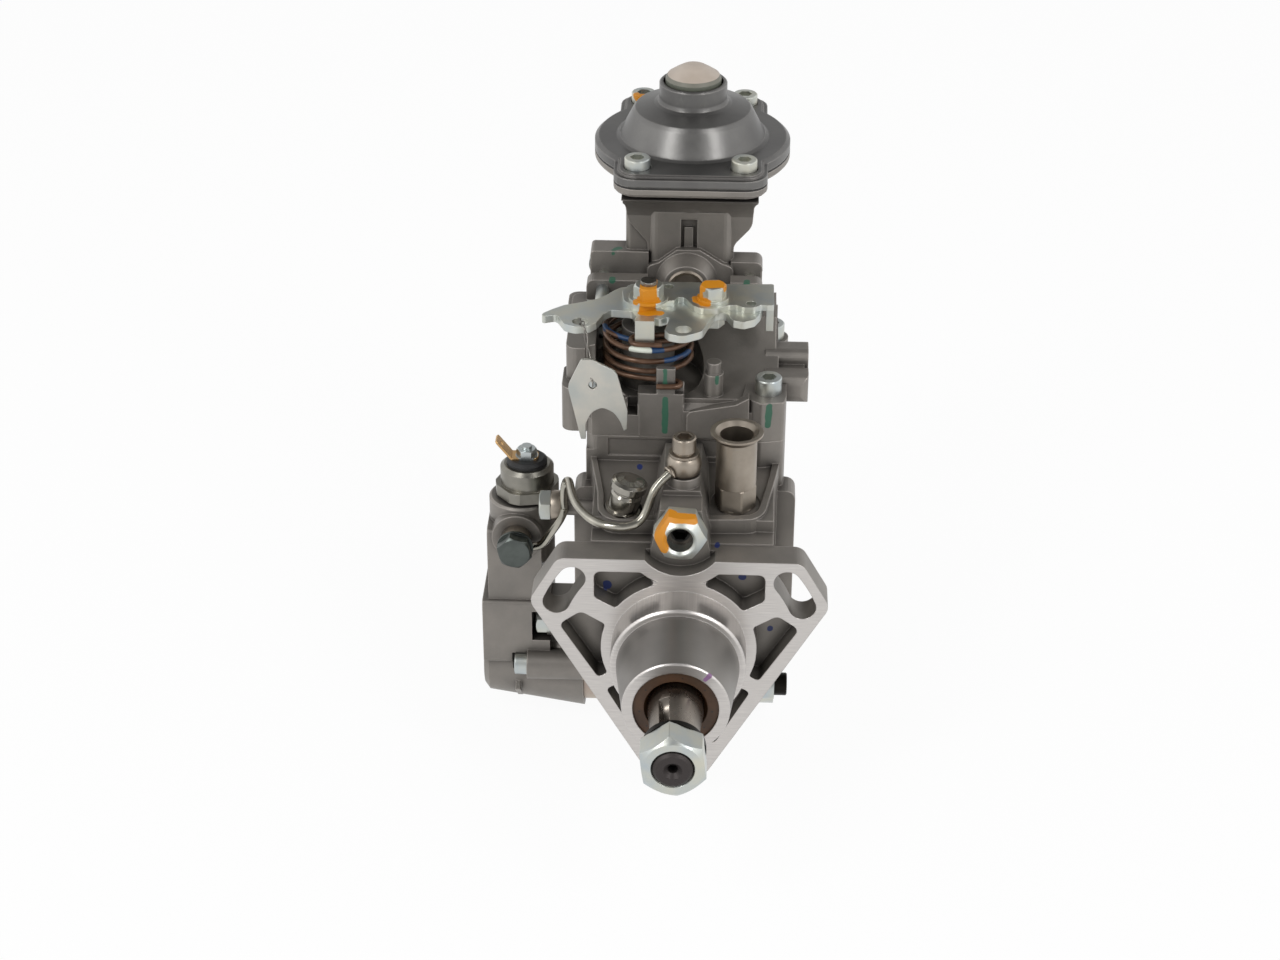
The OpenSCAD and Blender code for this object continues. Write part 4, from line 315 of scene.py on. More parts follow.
# %% Machined faces
NOSE_END, PILOT_STEP, JUST_IN_FRONT = -39, -14.5, -0.1
PILOT_FROM, NOSE_UPTO = 22.6, 25.6
FACE_DEPTH, RING_DEPTH, LOOKS_FORWARD = 0.1, 0.6, -0.95
TURNED_RING, RING_STRENGTH = 1.96, 0.12
STREAK_LENGTH, STREAK_SQUEEZE = 4.63, (1, 1 / 18, 50)


def cut_faces(tree, where):
    """Two masks, 1 where the tool has been: the turned nose, and the finely cut faces."""
    flattened = add(tree, "VectorMath", {0: where, 1: (1, 0, 1)}, operation="MULTIPLY")
    radius = add(tree, "VectorMath", {0: flattened}, operation="LENGTH").outputs["Value"]
    depth = add(tree, "SeparateXYZ", {0: where}).outputs["Y"]
    in_front, behind_step, wide, narrow = [
        add(tree, "Math", {0: value, 1: limit * MM}, operation=test)
        for value, test, limit in ((depth, "LESS_THAN", JUST_IN_FRONT),
                                   (depth, "GREATER_THAN", PILOT_STEP),
                                   (radius, "GREATER_THAN", PILOT_FROM),
                                   (radius, "LESS_THAN", NOSE_UPTO))]
    nose = add(tree, "Math", {0: narrow, 1: in_front}, operation="MULTIPLY")
    pilot = add(tree, "Math", {0: wide, 1: in_front}, operation="MULTIPLY")
    pilot = add(tree, "Math", {0: pilot, 1: behind_step}, operation="MULTIPLY")
    normal = add(tree, "NewGeometry").outputs["True Normal"]
    facing_y = add(tree, "SeparateXYZ", {0: normal}).outputs["Y"]
    faces_front = add(tree, "Math", {0: facing_y, 1: LOOKS_FORWARD}, operation="LESS_THAN")
    level = add(tree, "Math", {0: depth, 1: 0.0, 2: FACE_DEPTH * MM}, operation="COMPARE")
    flange_face = add(tree, "Math", {0: level, 1: faces_front}, operation="MULTIPLY")
    nose_ring = add(tree, "Math", {0: depth, 1: NOSE_END * MM, 2: RING_DEPTH * MM},
                    operation="COMPARE")
    fine = add(tree, "Math", {0: flange_face, 1: nose_ring}, operation="MAXIMUM")
    return nose, add(tree, "Math", {0: fine, 1: pilot}, operation="MAXIMUM")


def machine(tree, shader, where, relief):
    """Adds the cut faces of flange, pilot and nose to the cast skin."""
    nose, fine = cut_faces(tree, where)
    turned_grey = mottled(tree, where, "#84817e", "#918e8a", 14)
    coat(tree, shader, nose, turned_grey, roughness=0.42, metallic=0.95)
    # Streaks across the finely cut faces: nearly 5 mm long and a fiftieth of that wide
    squeezed = add(tree, "Mapping", {"Vector": where, "Scale": STREAK_SQUEEZE})
    streaks = mottled(tree, squeezed, "#bcb8b5", "#cdc9c5", STREAK_LENGTH, Roughness=0.5)
    coat(tree, shader, fine, streaks, roughness=0.34, metallic=0.95)
    # Rings left by the turning tool. Real ones are ten times finer and wouldn't show.
    rings = add(tree, "TexWave", {"Vector": where, "Scale": 2 * math.pi / 20 / (TURNED_RING * MM),
                                  "Distortion": 0.6, "Detail": 1.0}, bands_direction="Y")
    shallow = add(tree, "Math", {0: rings.outputs["Fac"], 1: RING_STRENGTH}, operation="MULTIPLY")
    cut = add(tree, "Math", {0: nose, 1: fine}, operation="MAXIMUM")
    grit = relief.inputs["Height"].links[0].from_socket
    both = add(tree, "Mix", {0: cut, 2: grit, 3: shallow}, data_type="FLOAT")
    tree.links.new(both.outputs[0], relief.inputs["Height"])


print("nose turned up to a radius of", NOSE_UPTO, "mm, pilot from", PILOT_FROM, "mm")

# %% The housing's skin
housing_skin, tree, shader, where, relief = cast_metal("die cast aluminium with machined faces")
machine(tree, shader, where, relief)
parts["pump_housing"].data.materials[0] = housing_skin
print("the housing has its cast skin and its machined faces")

# %% Inspection marks on the housing
BLUE, PURPLE = "#1d2c63", "#7d5a80"
pocket_dot = ((-26.9, 9.0, 21.7), (-26.7, 9.0, 21.2), 1.6)
pocket_drip = ((-27.6, 9.0, 20.8), (-27.3, 9.0, 12.9), 0.7)
pocket_dots_right = [((22.8, 9.0, 26.2), (23.1, 9.0, 26.2), 1.3),
                     ((33.7, 9.0, 3.7), (33.7, 9.0, 4.1), 1.1)]
flange_top_dot = ((13.0, 8.0, 40.3), (13.7, 14.0, 36.7), 1.0)
deck_dot = ((-16.1, 42.0, 52.8), (-16.6, 54.0, 45.9), 1.1)
boss_dot = ((4.2, -2.0, 59.2), (5.9, 3.0, 55.9), 1.3)
blue_dabs = [pocket_dot, pocket_drip, *pocket_dots_right, flange_top_dot, deck_dot, boss_dot]
paint(tree, shader, where, blue_dabs, BLUE)
nose_mark = ((10.4, -39, 13.2), (13.6, -39, 16.8), 0.9)
paint(tree, shader, where, [nose_mark], PURPLE)
print(len(blue_dabs), "blue dabs and a purple one on the housing")

# %% Green marks on the governor cover
GREEN = "#2f5a47"
front_line = ((-7.3, 53.8, 75), (-7.3, 53.8, 61.5), 1.3)
posts_and_web = [((-7.4, 54, 87), (-7.4, 54, 80), 0.9), ((12.1, 58, 87), (12.1, 58, 80), 1.0),
                 ((10.4, 57, 77), (11.6, 55, 75), 1.1)]
screw_boss_line = ((31.6, 52.2, 74), (31.2, 52.2, 66), 1.3)
ears = [((-29.6, 118, 105), (-27.6, 120, 105.6), 1.3),
        ((-29.6, 104, 99.6), (-29.4, 106, 99.8), 1.2),
        ((22.2, 104, 99.6), (22.4, 106, 99.8), 1.2)]
cover_skin, tree, shader, where, _ = cast_metal("die cast aluminium of the cover")
paint(tree, shader, where, [front_line, *posts_and_web, screw_boss_line, *ears], GREEN)
parts["governor_cover"].data.materials[0] = cover_skin
print("the governor cover has", 2 + len(posts_and_web) + len(ears), "green dabs")

# %% [markdown]
# ## The boost cover and its cap
#
# The cover over the diaphragm is cast in a finer mould: darker, smoother and glossy enough to
# show soft streaks of light. The cap in its neck is a transport plug of moulded polyethylene.
# Its domed top is pale and its sides are painted dark as shade, so the colour follows how far a
# face looks up.

# %% Smooth cast cover and cap
dome_skin, tree, shader, where = new_material("smooth die cast aluminium", Metallic=0.85)
clouds = mottled(tree, where, "#5f5e5d", "#71706e", 12, Detail=5.0)
# The same painted highlight on the edges and painted shade in the corners
tree.links.new(with_painted_shade(tree, with_painted_highlight(tree, clouds, "#a5a19d", 1.0), 3), shader.inputs["Base Color"])
wandering_shine(tree, shader, where, roughness=0.36, spread=0.2, size_mm=6)
fine_relief(tree, shader, where, size_mm=1.2, depth_mm=0.03, edge_mm=0.9)
parts["boost_cover"].data.materials[0] = dome_skin

plug_plastic, tree, shader, where = new_material("moulded polyethylene", Roughness=0.5)
# Painted shade: faces that look up keep the pale colour, the sides get the dark one
upward = add(tree, "SeparateXYZ", {0: add(tree, "NewGeometry").outputs["Normal"]}).outputs["Z"]
on_top = add(tree, "MapRange", {"Value": upward, "From Min": 0.45, "From Max": 0.75})
pale = mottled(tree, where, "#a89c90", "#b8ada2", 8)
painted_shade_and_top = add(tree, "Mix", {0: on_top, 6: "#575a50", 7: pale}, data_type="RGBA")
tree.links.new(painted_shade_and_top.outputs[2], shader.inputs["Base Color"])
fine_relief(tree, shader, where, size_mm=0.8, depth_mm=0.03, edge_mm=0.4)
parts["boost_cap"].data.materials[0] = plug_plastic
print("boost cover and cap finished")

# %% [markdown]
# ## Plated and bare steels
#
# Zinc plating is nearly white with a breath of blue and yellow, because the clear passivation on
# it is a film as thin as a soap bubble's. Nickel is warmer. Ground steel is darker, black oxide
# almost black. All of them are metals, so the colour sits in the reflection. They differ only
# in their two shades and their roughness, so one function makes them all.

# %% Steel finishes
def plated(name, low, high, roughness, size_mm=5.0, **surface):
    """A metal skin of two shades in clouds about size_mm across."""
    material, tree, shader, where = new_material(name, **{"Metallic": 1.0, **surface})
    clouds = mottled(tree, where, low, high, size_mm, (0.3, 0.7), Detail=4.0)
    tree.links.new(clouds.outputs[0], shader.inputs["Base Color"])
    wandering_shine(tree, shader, where, roughness, spread=0.14, size_mm=2.5)
    fine_relief(tree, shader, where, size_mm=0.7, depth_mm=0.012, edge_mm=0.25)
    return material, tree, shader, where


zinc = plated("zinc plated steel", "#b4bcbf", "#c9c8bb", 0.36)[0]
dark_zinc = plated("dark zinc plated steel", "#4a4e4c", "#5f6461", 0.36)[0]
nickel = plated("nickel plated steel", "#8f867b", "#a89f93", 0.4)[0]
ground = plated("ground steel", "#85827d", "#a09c96", 0.3)[0]
polished = plated("polished steel", "#8d8a83", "#a5a199", 0.2)[0]
black_oxide = plated("black oxide steel", "#191816", "#2b2926", 0.42)[0]
pink_zinc = plated("passivated spacer plate", "#a8968f", "#b9b1a0", 0.42)[0]
can_steel = plated("drawn steel can", "#7a7871", "#949189", 0.34)[0]
spring_steel = plated("oiled spring steel", "#4b4844", "#65615b", 0.35)[0]
bronze = plated("sintered bronze", "#8a6b3d", "#9f7f4c", 0.45)[0]

finished = {
    zinc: ["cover_screws", "head_screws", "delivery_valve_holders", "head_centre_plug",
           "shutoff_solenoid", "side_banjo_bolt", "timing_cover", "cold_start_screws",
           "stop_screws", "full_load_screw", "shaft_nut", "tag_plate"],
    dark_zinc: ["lower_banjo_bolt"],
    nickel: ["inlet_fitting", "core_plug", "top_banjo_bolt", "fuel_pipe"],
    ground: ["vane_ring", "distributor_head", "vane_rotor", "drive_gear", "cross_coupling",
             "governor_cage", "flyweights", "governor_sleeve", "timing_piston", "roller_ring",
             "rollers", "cam_plate", "plunger", "control_collar", "governor_lever",
             "control_shaft", "boost_pin"],
    polished: ["pressure_valve"],
    black_oxide: ["timing_screws", "spring_washer"],
    pink_zinc: ["timing_spacer"],
    can_steel: ["cold_start_solenoid"],
    spring_steel: ["timing_spring", "plunger_springs"],
    bronze: ["drive_bush"],
}
for finish, names in finished.items():
    for name in names:
        parts[name].data.materials[0] = finish
print(sum(map(len, finished.values())), "nodes in", len(finished), "metal finishes")

# %% [markdown]
# ## Steel that the oil has darkened
#
# The drive shaft's thread and the socket of the governor shaft hold oil, which makes bare steel
# look nearly black. A broad dab of dark coat with a sharp edge does it: it needs no second
# material, and the shaft stays one piece.

# %% The two shafts
SHARP = 0.02
OILED_FROM, OILED_TO, OILED_RADIUS = -74, -90, 7.2
SOCKET_RADIUS, SOCKET_HEIGHT = 3.6, 48
shaft_steel, *nodes = plated("oiled steel shaft", "#6b645d", "#8a837b", 0.28, 8.0)
thread = ((0, OILED_FROM, 0), (0, OILED_TO, 0), OILED_RADIUS, SHARP)
paint(*nodes, [thread], "#3a3534", roughness=0.5, metallic=0.6)
parts["drive_shaft"].data.materials[0] = shaft_steel

socket_steel, *nodes = plated("oiled dark steel", "#4c4743", "#5d5752", 0.4)
socket = ((0, -30, SOCKET_HEIGHT), (0, 30, SOCKET_HEIGHT), SOCKET_RADIUS, SHARP)
paint(*nodes, [socket], "#131110", roughness=0.6, metallic=0.3)
parts["governor_shaft"].data.materials[0] = socket_steel
print("thread and socket darkened by oil")

# %% [markdown]
# ## Zinc with orange marker paint
#
# After adjustment the lever's nut, its clamp bolt, the lock nut and one screw of the boost cover
# were dabbed with orange paint, so that nobody can turn them unseen. A dab runs over a nut and
# the plate below alike, so all the lever's pieces share one material and the paint lines up.

# %% Painted screws and nuts
ORANGE = "#c27d06"
nut_dabs = [((-14.6, 70.6, 103.8), (-14.6, 70.8, 112), 3.4),
            ((-14.6, 69, 112.6), (-14.4, 80, 113), 3.2),
            ((-18.4, 71.4, 107.2), (-11.6, 71.4, 107.2), 1.9),
            ((-14.4, 68.6, 103), (-14.2, 68.6, 107), 2.9),
            ((-16.3, 68.3, 103.8), (-10.3, 68.6, 103.8), 2.0)]
clamp_dabs = [((6.6, 76.2, 112.6), (12.6, 77, 112.6), 3.4),
              ((4.4, 74.4, 106.5), (4.4, 75.4, 111), 1.7),
              ((3.6, 74.6, 106.4), (7.4, 71.4, 106.9), 1.7),
              ((3.6, 77, 106.2), (6.4, 72, 106.2), 1.9)]
lock_dabs = [((-6.6, -2, 44.5), (-7.4, -2, 50), 2.6), ((-7, 0, 52), (-4, 2, 57), 3.2),
             ((-4, 0, 58), (4.6, 0, 57.4), 3.4)]
screw_dab = ((-24.0, 169.3, 149), (-21.7, 171.5, 149), 2.9)

for name, dabs, painted in (
        ("zinc plate with marker paint", nut_dabs + clamp_dabs,
         ["lever_nut", "clamp_bolt", "upper_lever_plate", "control_lever"]),
        ("lock nut with marker paint", lock_dabs, ["governor_shaft_nut"]),
        ("screw with marker paint", [screw_dab], ["boost_cover_screws"])):
    painted_zinc, *nodes = plated(name, "#b9c0c1", "#cdcbbd", 0.42)
    paint(*nodes, dabs, ORANGE, roughness=0.5)
    for node in painted:
        parts[node].data.materials[0] = painted_zinc
    print(name, "on", painted)

# %% [markdown]
# ## Brass, rubber and plastic
#
# The spade terminal is stamped brass, held by a small zinc plated nut that is part of the same
# node, so the zinc is a coat inside a short thick dab. The shaft seal is brown fluoro rubber,
# matt, with the little moulding dots such seals have. The insulator is black moulded plastic.

# %% Small materials
TERMINAL_NUT = ((-60.6, 67, 43.4), (-60.6, 67, 50), 4.4, SHARP)
SEAL_DOT_CIRCLE, SEAL_FACE, SEAL_DOT_RADIUS = 13.1, -38.2, 0.35
SEAL_DOTS = (10, 52, 95, 128, 232, 262, 305)

brass, *nodes = plated("stamped brass", "#c8a372", "#dcb987", 0.42)
paint(*nodes, [TERMINAL_NUT], "#c2c8c8", roughness=0.34, metallic=1.0)
parts["solenoid_terminal"].data.materials[0] = brass


def moulded(name, low, high, roughness):
    """Rubber or plastic from a mould, of two close shades."""
    material, tree, shader, where = new_material(name, Roughness=roughness)
    clouds = mottled(tree, where, low, high, size_mm=3)
    tree.links.new(clouds.outputs[0], shader.inputs["Base Color"])
    fine_relief(tree, shader, where, size_mm=0.6, depth_mm=0.03, edge_mm=0.3)
    return material, tree, shader, where


seal_rubber, *nodes = moulded("brown seal rubber", "#38230f", "#472e18", 0.55)
dots = []
for degrees in SEAL_DOTS:
    turn = math.radians(degrees)
    at = (SEAL_DOT_CIRCLE * math.sin(turn), SEAL_FACE, SEAL_DOT_CIRCLE * math.cos(turn))
    dots.append((at, at, SEAL_DOT_RADIUS, 0.05))
paint(*nodes, dots, "#17100b")
parts["shaft_seal"].data.materials[0] = seal_rubber
parts["solenoid_insulator"].data.materials[0] = moulded("black moulded plastic", "#0f0f10",
                                                        "#1b1b1c", 0.5)[0]
parts["diaphragm"].data.materials[0] = moulded("diaphragm rubber", "#151413", "#211f1d", 0.6)[0]
print(len(dots), "dots on the seal")

# %% [markdown]
# ## Wire and pipe
#
# A spring or a pipe is one round section carried along a line. It could be a circle swept by
# bmesh, but a curve with a round bevel draws exactly that, and a smooth spline through few
# points bends as real wire does. Each curve is turned to a mesh at the end, so that it exports
# as it looks.

# %% Round wire along a line
def finish_piece(name, mesh, body, material, stands_for):
    """Smooth, coloured, riding on its body, and shown instead of its CAD node."""
    mesh.name = name
    mesh.materials.clear()
    mesh.materials.append(material)
    mesh.shade_smooth()
    piece = bpy.data.objects.new(name, mesh)
    bpy.context.collection.objects.link(piece)
    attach(piece, body)
    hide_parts(stands_for)
    print(name, len(mesh.polygons), "faces")


def wire(name, points_mm, radius_mm, body, material, stands_for, roundness=4, steps=4):
    """A round wire or pipe along a smooth line through the points."""
    line = bpy.data.curves.new(name, "CURVE")
    line.dimensions = "3D"
    line.bevel_depth = radius_mm * MM
    line.bevel_resolution = roundness
    line.resolution_u = steps
    line.use_fill_caps = True
    spline = line.splines.new("NURBS")
    spline.points.add(len(points_mm) - 1)
    for point, at in zip(spline.points, points_mm):
        point.co = (*[c * MM for c in at], 1)
    spline.use_endpoint_u = True
    spline.order_u = 4
    drawn = bpy.data.objects.new(name + " curve", line)
    bpy.context.collection.objects.link(drawn)
    solid = drawn.evaluated_get(bpy.context.evaluated_depsgraph_get())
    mesh = bpy.data.meshes.new_from_object(solid)
    bpy.data.objects.remove(drawn)
    finish_piece(name, mesh, body, material, stands_for)


print("wires and pipes are round, so a curve with a bevel draws them")

# %% [markdown]
# ## The lever's return spring
#
# A torsion spring of lacquered wire, wound round the lever's shaft. Its lower end clasps a post
# on the cover and its upper end clasps the lever's tab, so both ends are small hooks. The turns
# are close together below and open towards the lever, and the two upper ones are pulled in by
# the tab. The height of the wire after each part of a turn is the only thing measured; the
# rest is a circle. Blue and white bands of paint code its stiffness.

# %% Return spring
SPRING_CENTRE, SPRING_RADIUS, WIRE_RADIUS = (-14.5, 76.0), 16.75, 1.05
PULLED_IN, PULLED_FROM = 10.6, 3.5
STEPS_A_TURN, LAST_STEP = 16, 78
TURN_HEIGHTS = [(0, 80.9), (0.25, 81.4), (0.5, 82.2), (0.75, 83.2), (1, 84), (1.25, 84.5),
                (1.5, 85.6), (1.75, 87), (2, 88), (2.25, 88.5), (2.5, 90), (2.75, 91.6),
                (3, 92.6), (3.25, 92.9), (4, 93.2), (4.25, 94.9), (5, 95.2)]


def turn_height(turn):
    """Height of the wire in mm, on a straight line between two measured ones."""
    for (low_turn, low_z), (high_turn, high_z) in zip(TURN_HEIGHTS, TURN_HEIGHTS[1:]):
        if turn <= high_turn:
            return low_z + (high_z - low_z) * (turn - low_turn) / (high_turn - low_turn)


def turn_point(turn):
    """Centre of the wire so many turns up; it starts at the front and leaves to the left."""
    angle = math.radians(-90 - 360 * turn)
    pulled = turn > PULLED_FROM and math.sin(angle) < 0
    front = PULLED_IN if pulled else SPRING_RADIUS
    return (SPRING_CENTRE[0] + SPRING_RADIUS * math.cos(angle),
            SPRING_CENTRE[1] + front * math.sin(angle), turn_height(turn))


lower_hook = [(-10.6, 53.3, 80.9), (-7, 53.2, 80.9), (-3.4, 53.2, 80.9), (-1.6, 54.6, 80.9),
              (-1.6, 57, 80.9), (-4, 58.6, 80.9), (-9, 59.1, 80.9)]
upper_hook = [(-17.5, 66.2, 95.3), (-19.8, 65.8, 95.2), (-20.8, 63.4, 95), (-20.2, 60.8, 94.8),
              (-17.6, 60.1, 94.6), (-13, 60.1, 94.6), (-8.9, 60.3, 94.7)]
coil = [turn_point(step / STEPS_A_TURN) for step in range(1, LAST_STEP + 1)]
blue_bands = [((-30.9, 74, 94.8), (-22.6, 66.7, 93.9), 1.5, 0.2),
              ((-12.9, 59.3, 92.6), (-9.3, 60.1, 92.4), 1.5, 0.2),
              ((-6.9, 61.1, 87.8), (0.9, 69.3, 87.3), 1.5, 0.2)]
white_band = ((-19.7, 60.1, 92.7), (-13.9, 59.3, 92.6), 1.5, 0.2)

lacquer, *nodes = plated("lacquered spring wire", "#4a3527", "#6f5442", 0.34, 3.0, Metallic=0.45)
paint(*nodes, blue_bands, "#1d3d63")
paint(*nodes, [white_band], "#c9cdc2")
wire("return_spring_wire", lower_hook + coil + upper_hook, WIRE_RADIUS, "housing", lacquer,
     "return_spring")

# %% [markdown]
# ## The fuel pipe
#
# A nickel plated steel pipe, 3.2 mm thick, leads from the eye on the deck over the flange to an
# eye on the pump's side, and a second length goes on to the cold start unit. Its points stay a
# list, because a pipe bent round its neighbours follows no formula.

# %% Pipe
PIPE = 3.2
pipe_line = [(-1.6, 21.9, 64.6), (-2.7, 21.1, 64.2), (-4.8, 19.8, 62.9), (-7.7, 18.4, 60.5),
             (-10.4, 16.6, 57.6), (-12.1, 15, 51.6), (-14.2, 13.4, 46.6), (-19, 11, 44.9),
             (-25, 11.5, 44.9), (-30, 13.5, 44.8), (-34.5, 18, 44.6), (-39, 25.5, 45),
             (-41.3, 34, 45.4), (-42.4, 40.5, 46), (-43.4, 43.8, 45.8), (-44.7, 45, 42.4),
             (-44.9, 45, 36.8), (-44.9, 45.2, 32), (-44.9, 46.5, 30.4), (-44.9, 48, 30.3)]
drain_line = [(-44.9, 45.2, 32), (-44.9, 45, 31), (-46.5, 45.4, 26.6), (-49.6, 46.6, 21.4),
              (-52.6, 47.8, 15.6), (-54.6, 48.6, 12.8), (-58.4, 48.9, 12.4), (-59.6, 48.9, 12.6)]
pipe_nickel = plated("nickel plated pipe", "#8f8d84", "#b5b1a6", 0.2, 4.0)[0]
for name, line in (("fuel_pipe_run", pipe_line), ("fuel_pipe_drain", drain_line)):
    wire(name, line, PIPE / 2, "housing", pipe_nickel, "fuel_pipe", roundness=8, steps=8)

# %% [markdown]
# ## The pipe's eyes
#
# The pipe is brazed into a short collar on each banjo eye. An eye is a turned ring, so its
# profile is drawn once, as pairs of radius and height, and spun round its bolt. The sharp edges
# get a small bevel, because a turned edge is always broken and the bevel catches the light.

# %% Turned pieces
EDGE_BREAK, SHARP_ANGLE = 0.25, math.radians(25)


def turned(name, profile_mm, centre_mm, axis):
    """Spins a closed profile of (radius, height) points round an axis through the centre."""
    bm = bmesh.new()
    corners = [bm.verts.new((radius * MM, 0, height * MM)) for radius, height in profile_mm]
    edges = [bm.edges.new((a, b)) for a, b in zip(corners, corners[1:] + corners[:1])]
    bmesh.ops.spin(bm, geom=corners + edges, cent=(0, 0, 0), axis=(0, 0, 1), angle=2 * math.pi,
                   steps=64, use_merge=True)
    bmesh.ops.remove_doubles(bm, verts=bm.verts, dist=1e-6)
    bmesh.ops.recalc_face_normals(bm, faces=bm.faces)
    sharp = [e for e in bm.edges if len(e.link_faces) == 2 and e.calc_face_angle(0) > SHARP_ANGLE]
    bmesh.ops.bevel(bm, geom=sharp, affect="EDGES", offset=EDGE_BREAK * MM, segments=2,
                    profile=0.5, material=-1, clamp_overlap=True)
    upright = Vector((0, 0, 1)).rotation_difference(Vector(axis)).to_matrix().to_4x4()
    bmesh.ops.transform(bm, matrix=Matrix.Translation(Vector(centre_mm) * MM) @ upright,
                        verts=bm.verts)
    mesh = bpy.data.meshes.new(name)
    bm.to_mesh(mesh)
    bm.free()
    finish_piece(name, mesh, "housing", nickel, "fuel_pipe")


def ring(bore, outside, height):
    """The profile of a plain ring."""
    return [(bore, 0), (outside, 0), (outside, height), (bore, height)]


BIG_BORE, SMALL_BORE, EYE_RADIUS = 3.05, 2.45, 5.8
barrel = [(BIG_BORE, 0), (5.2, 0), (5.7, 0.5), (6.1, 1.5), (6.4, 3.0), (6.4, 4.6), (6.1, 6.1),
          (5.6, 7.2), (5.2, 7.7), (BIG_BORE, 7.7)]
collar = [(1.62, 0), (2.5, 0), (2.75, 0.5), (2.75, 1.0), (2.3, 1.6), (1.62, 1.6)]
turned("top_banjo_eye", barrel, (0.6, 24.6, 61.05), (0, 0, 1))
turned("side_banjo_eye", ring(SMALL_BORE, EYE_RADIUS, 4), (-46.25, 50.5, 30.3), (-1, 0, 0))
turned("lower_banjo_eye", ring(BIG_BORE, EYE_RADIUS, 6.2), (-63.9, 51.95, 14.2), (0, -1, 0))
turned("pipe_collar", collar, (-4.9, 19.9, 63.0), (0.72, 0.5, 0.48))

# %% [markdown]
# ## The tag
#
# A stamped tag of thin zinc plated sheet hangs from the lever. Its outline is drawn as a few
# corners, each rounded by its own radius, then filled round the hole and given a thickness. The
# edges get a small bevel that catches the light, as a stamped edge does. A corner per real
# corner keeps the outline easy to change.

# %% Tag plate
TAG_FRONT, TAG_SHEET, TAG_BEVEL = 46.0, 1.2, 0.45
HOLE_AT, HOLE_RADIUS = (-33.9, 84.8), 1.6
# Each corner: X, Z and how much of it is rounded off, in mm
tag_corners = [(-38.2, 95.2, 1.5), (-34.4, 95.4, 1.5), (-26, 90.9, 1.5), (-24.9, 89.4, 1.5),
               (-21, 74.4, 2), (-21.3, 66.4, 1), (-22.4, 65.8, 0.4), (-23.6, 69.6, 2),
               (-26.2, 73.6, 3), (-30.4, 75.6, 3), (-34.4, 73.4, 3), (-36.6, 68.6, 2),
               (-36.6, 62, 0.4), (-38.4, 62, 0.6), (-40.2, 70.4, 2), (-43.2, 84, 3)]
bm = bmesh.new()
corners = [bm.verts.new((x * MM, TAG_FRONT * MM, z * MM)) for x, z, _ in tag_corners]
for a, b in zip(corners, corners[1:] + corners[:1]):
    bm.edges.new((a, b))
for corner, (_, _, rounding) in zip(corners, tag_corners):
    bmesh.ops.bevel(bm, geom=[corner], affect="VERTICES", offset=rounding / 2 * MM, segments=5,
                    profile=0.5, material=-1, clamp_overlap=True)
hole_centre = Matrix.Translation(Vector((HOLE_AT[0], TAG_FRONT, HOLE_AT[1])) * MM)
bmesh.ops.create_circle(bm, cap_ends=False, segments=32, radius=HOLE_RADIUS * MM,
                        matrix=hole_centre @ Matrix.Rotation(math.pi / 2, 4, "X"))
bmesh.ops.triangle_fill(bm, use_beauty=True, use_dissolve=False, edges=bm.edges[:],
                        normal=(0, -1, 0))
print("tag face of", round(sum(f.calc_area() for f in bm.faces) / MM ** 2), "mm2")
back = bmesh.ops.extrude_face_region(bm, geom=bm.faces[:])["geom"]
bmesh.ops.translate(bm, vec=(0, TAG_SHEET * MM, 0),
                    verts=[v for v in back if isinstance(v, bmesh.types.BMVert)])
bmesh.ops.recalc_face_normals(bm, faces=bm.faces)
rims = [e for e in bm.edges if len(e.link_faces) == 2 and e.calc_face_angle(0) > math.radians(60)]
bmesh.ops.bevel(bm, geom=rims, affect="EDGES", offset=TAG_BEVEL * MM, segments=2, profile=0.5,
                material=-1, clamp_overlap=True)
tag_mesh = bpy.data.meshes.new("tag_sheet")
bm.to_mesh(tag_mesh)
bm.free()
tag_zinc = plated("zinc plated sheet", "#b3b6b2", "#cbc6bc", 0.36, 6.0)[0]
finish_piece("tag_sheet", tag_mesh, "lever", tag_zinc, "tag_plate")
for face in tag_mesh.polygons:
    face.use_smooth = abs(face.normal.y) < 0.98

# %% [markdown]
# ## The tag's wire
#
# Soft steel wire goes through the lever's hole, twists with itself on the way down, and passes
# through the hole of the tag. The two strands are one wire: down as one helix round a line,
# through the hole as a small loop, and back up as the other helix, half a turn behind.

# %% Twisted wire
STRAND_GAP, STEPS_A_HALF_TWIST, POINTS_A_STRETCH, TAG_WIRE_RADIUS = 0.55, 5, 4, 0.26


def strand(path, phase):
    """One of two strands that wind round each other along a path."""
    placed = []
    for index, point in enumerate(path):
        along = (path[min(index + 1, len(path) - 1)] - path[max(index - 1, 0)]).normalized()
        side = along.cross(Vector((0.2, 1, 0.1))).normalized()
        turn = index / STEPS_A_HALF_TWIST * math.pi + phase
        outward = side * math.cos(turn) + along.cross(side) * math.sin(turn)
        placed.append(point + outward * STRAND_GAP)
    return placed


route = [Vector(p) for p in ((-39.3, 60.6, 100), (-39.2, 60.4, 104.6), (-38.2, 57.6, 104.9),
                             (-37.2, 54.2, 104), (-36.4, 52.4, 99), (-35.4, 49.6, 93.5),
                             (-34.4, 46.6, 88))]
path = [a.lerp(b, step / POINTS_A_STRETCH) for a, b in zip(route, route[1:])
        for step in range(POINTS_A_STRETCH)] + [route[-1]]
hole_loop = [Vector(p) for p in ((-33.7, 44.9, 86.2), (-33.8, 44.6, 84.8), (-33.9, 46.6, 84.2),
                                 (-33.9, 48.4, 84.8), (-34.1, 48.2, 86.4))]
soft_wire = plated("soft steel wire", "#6f6c68", "#8d8983", 0.42)[0]
wire("tag_wire", strand(path, 0) + hole_loop + strand(path, math.pi)[::-1], TAG_WIRE_RADIUS,
     "lever", soft_wire, "tag_plate", roundness=2, steps=3)
print("twist", round(sum((b - a).length for a, b in zip(route, route[1:]))), "mm long")

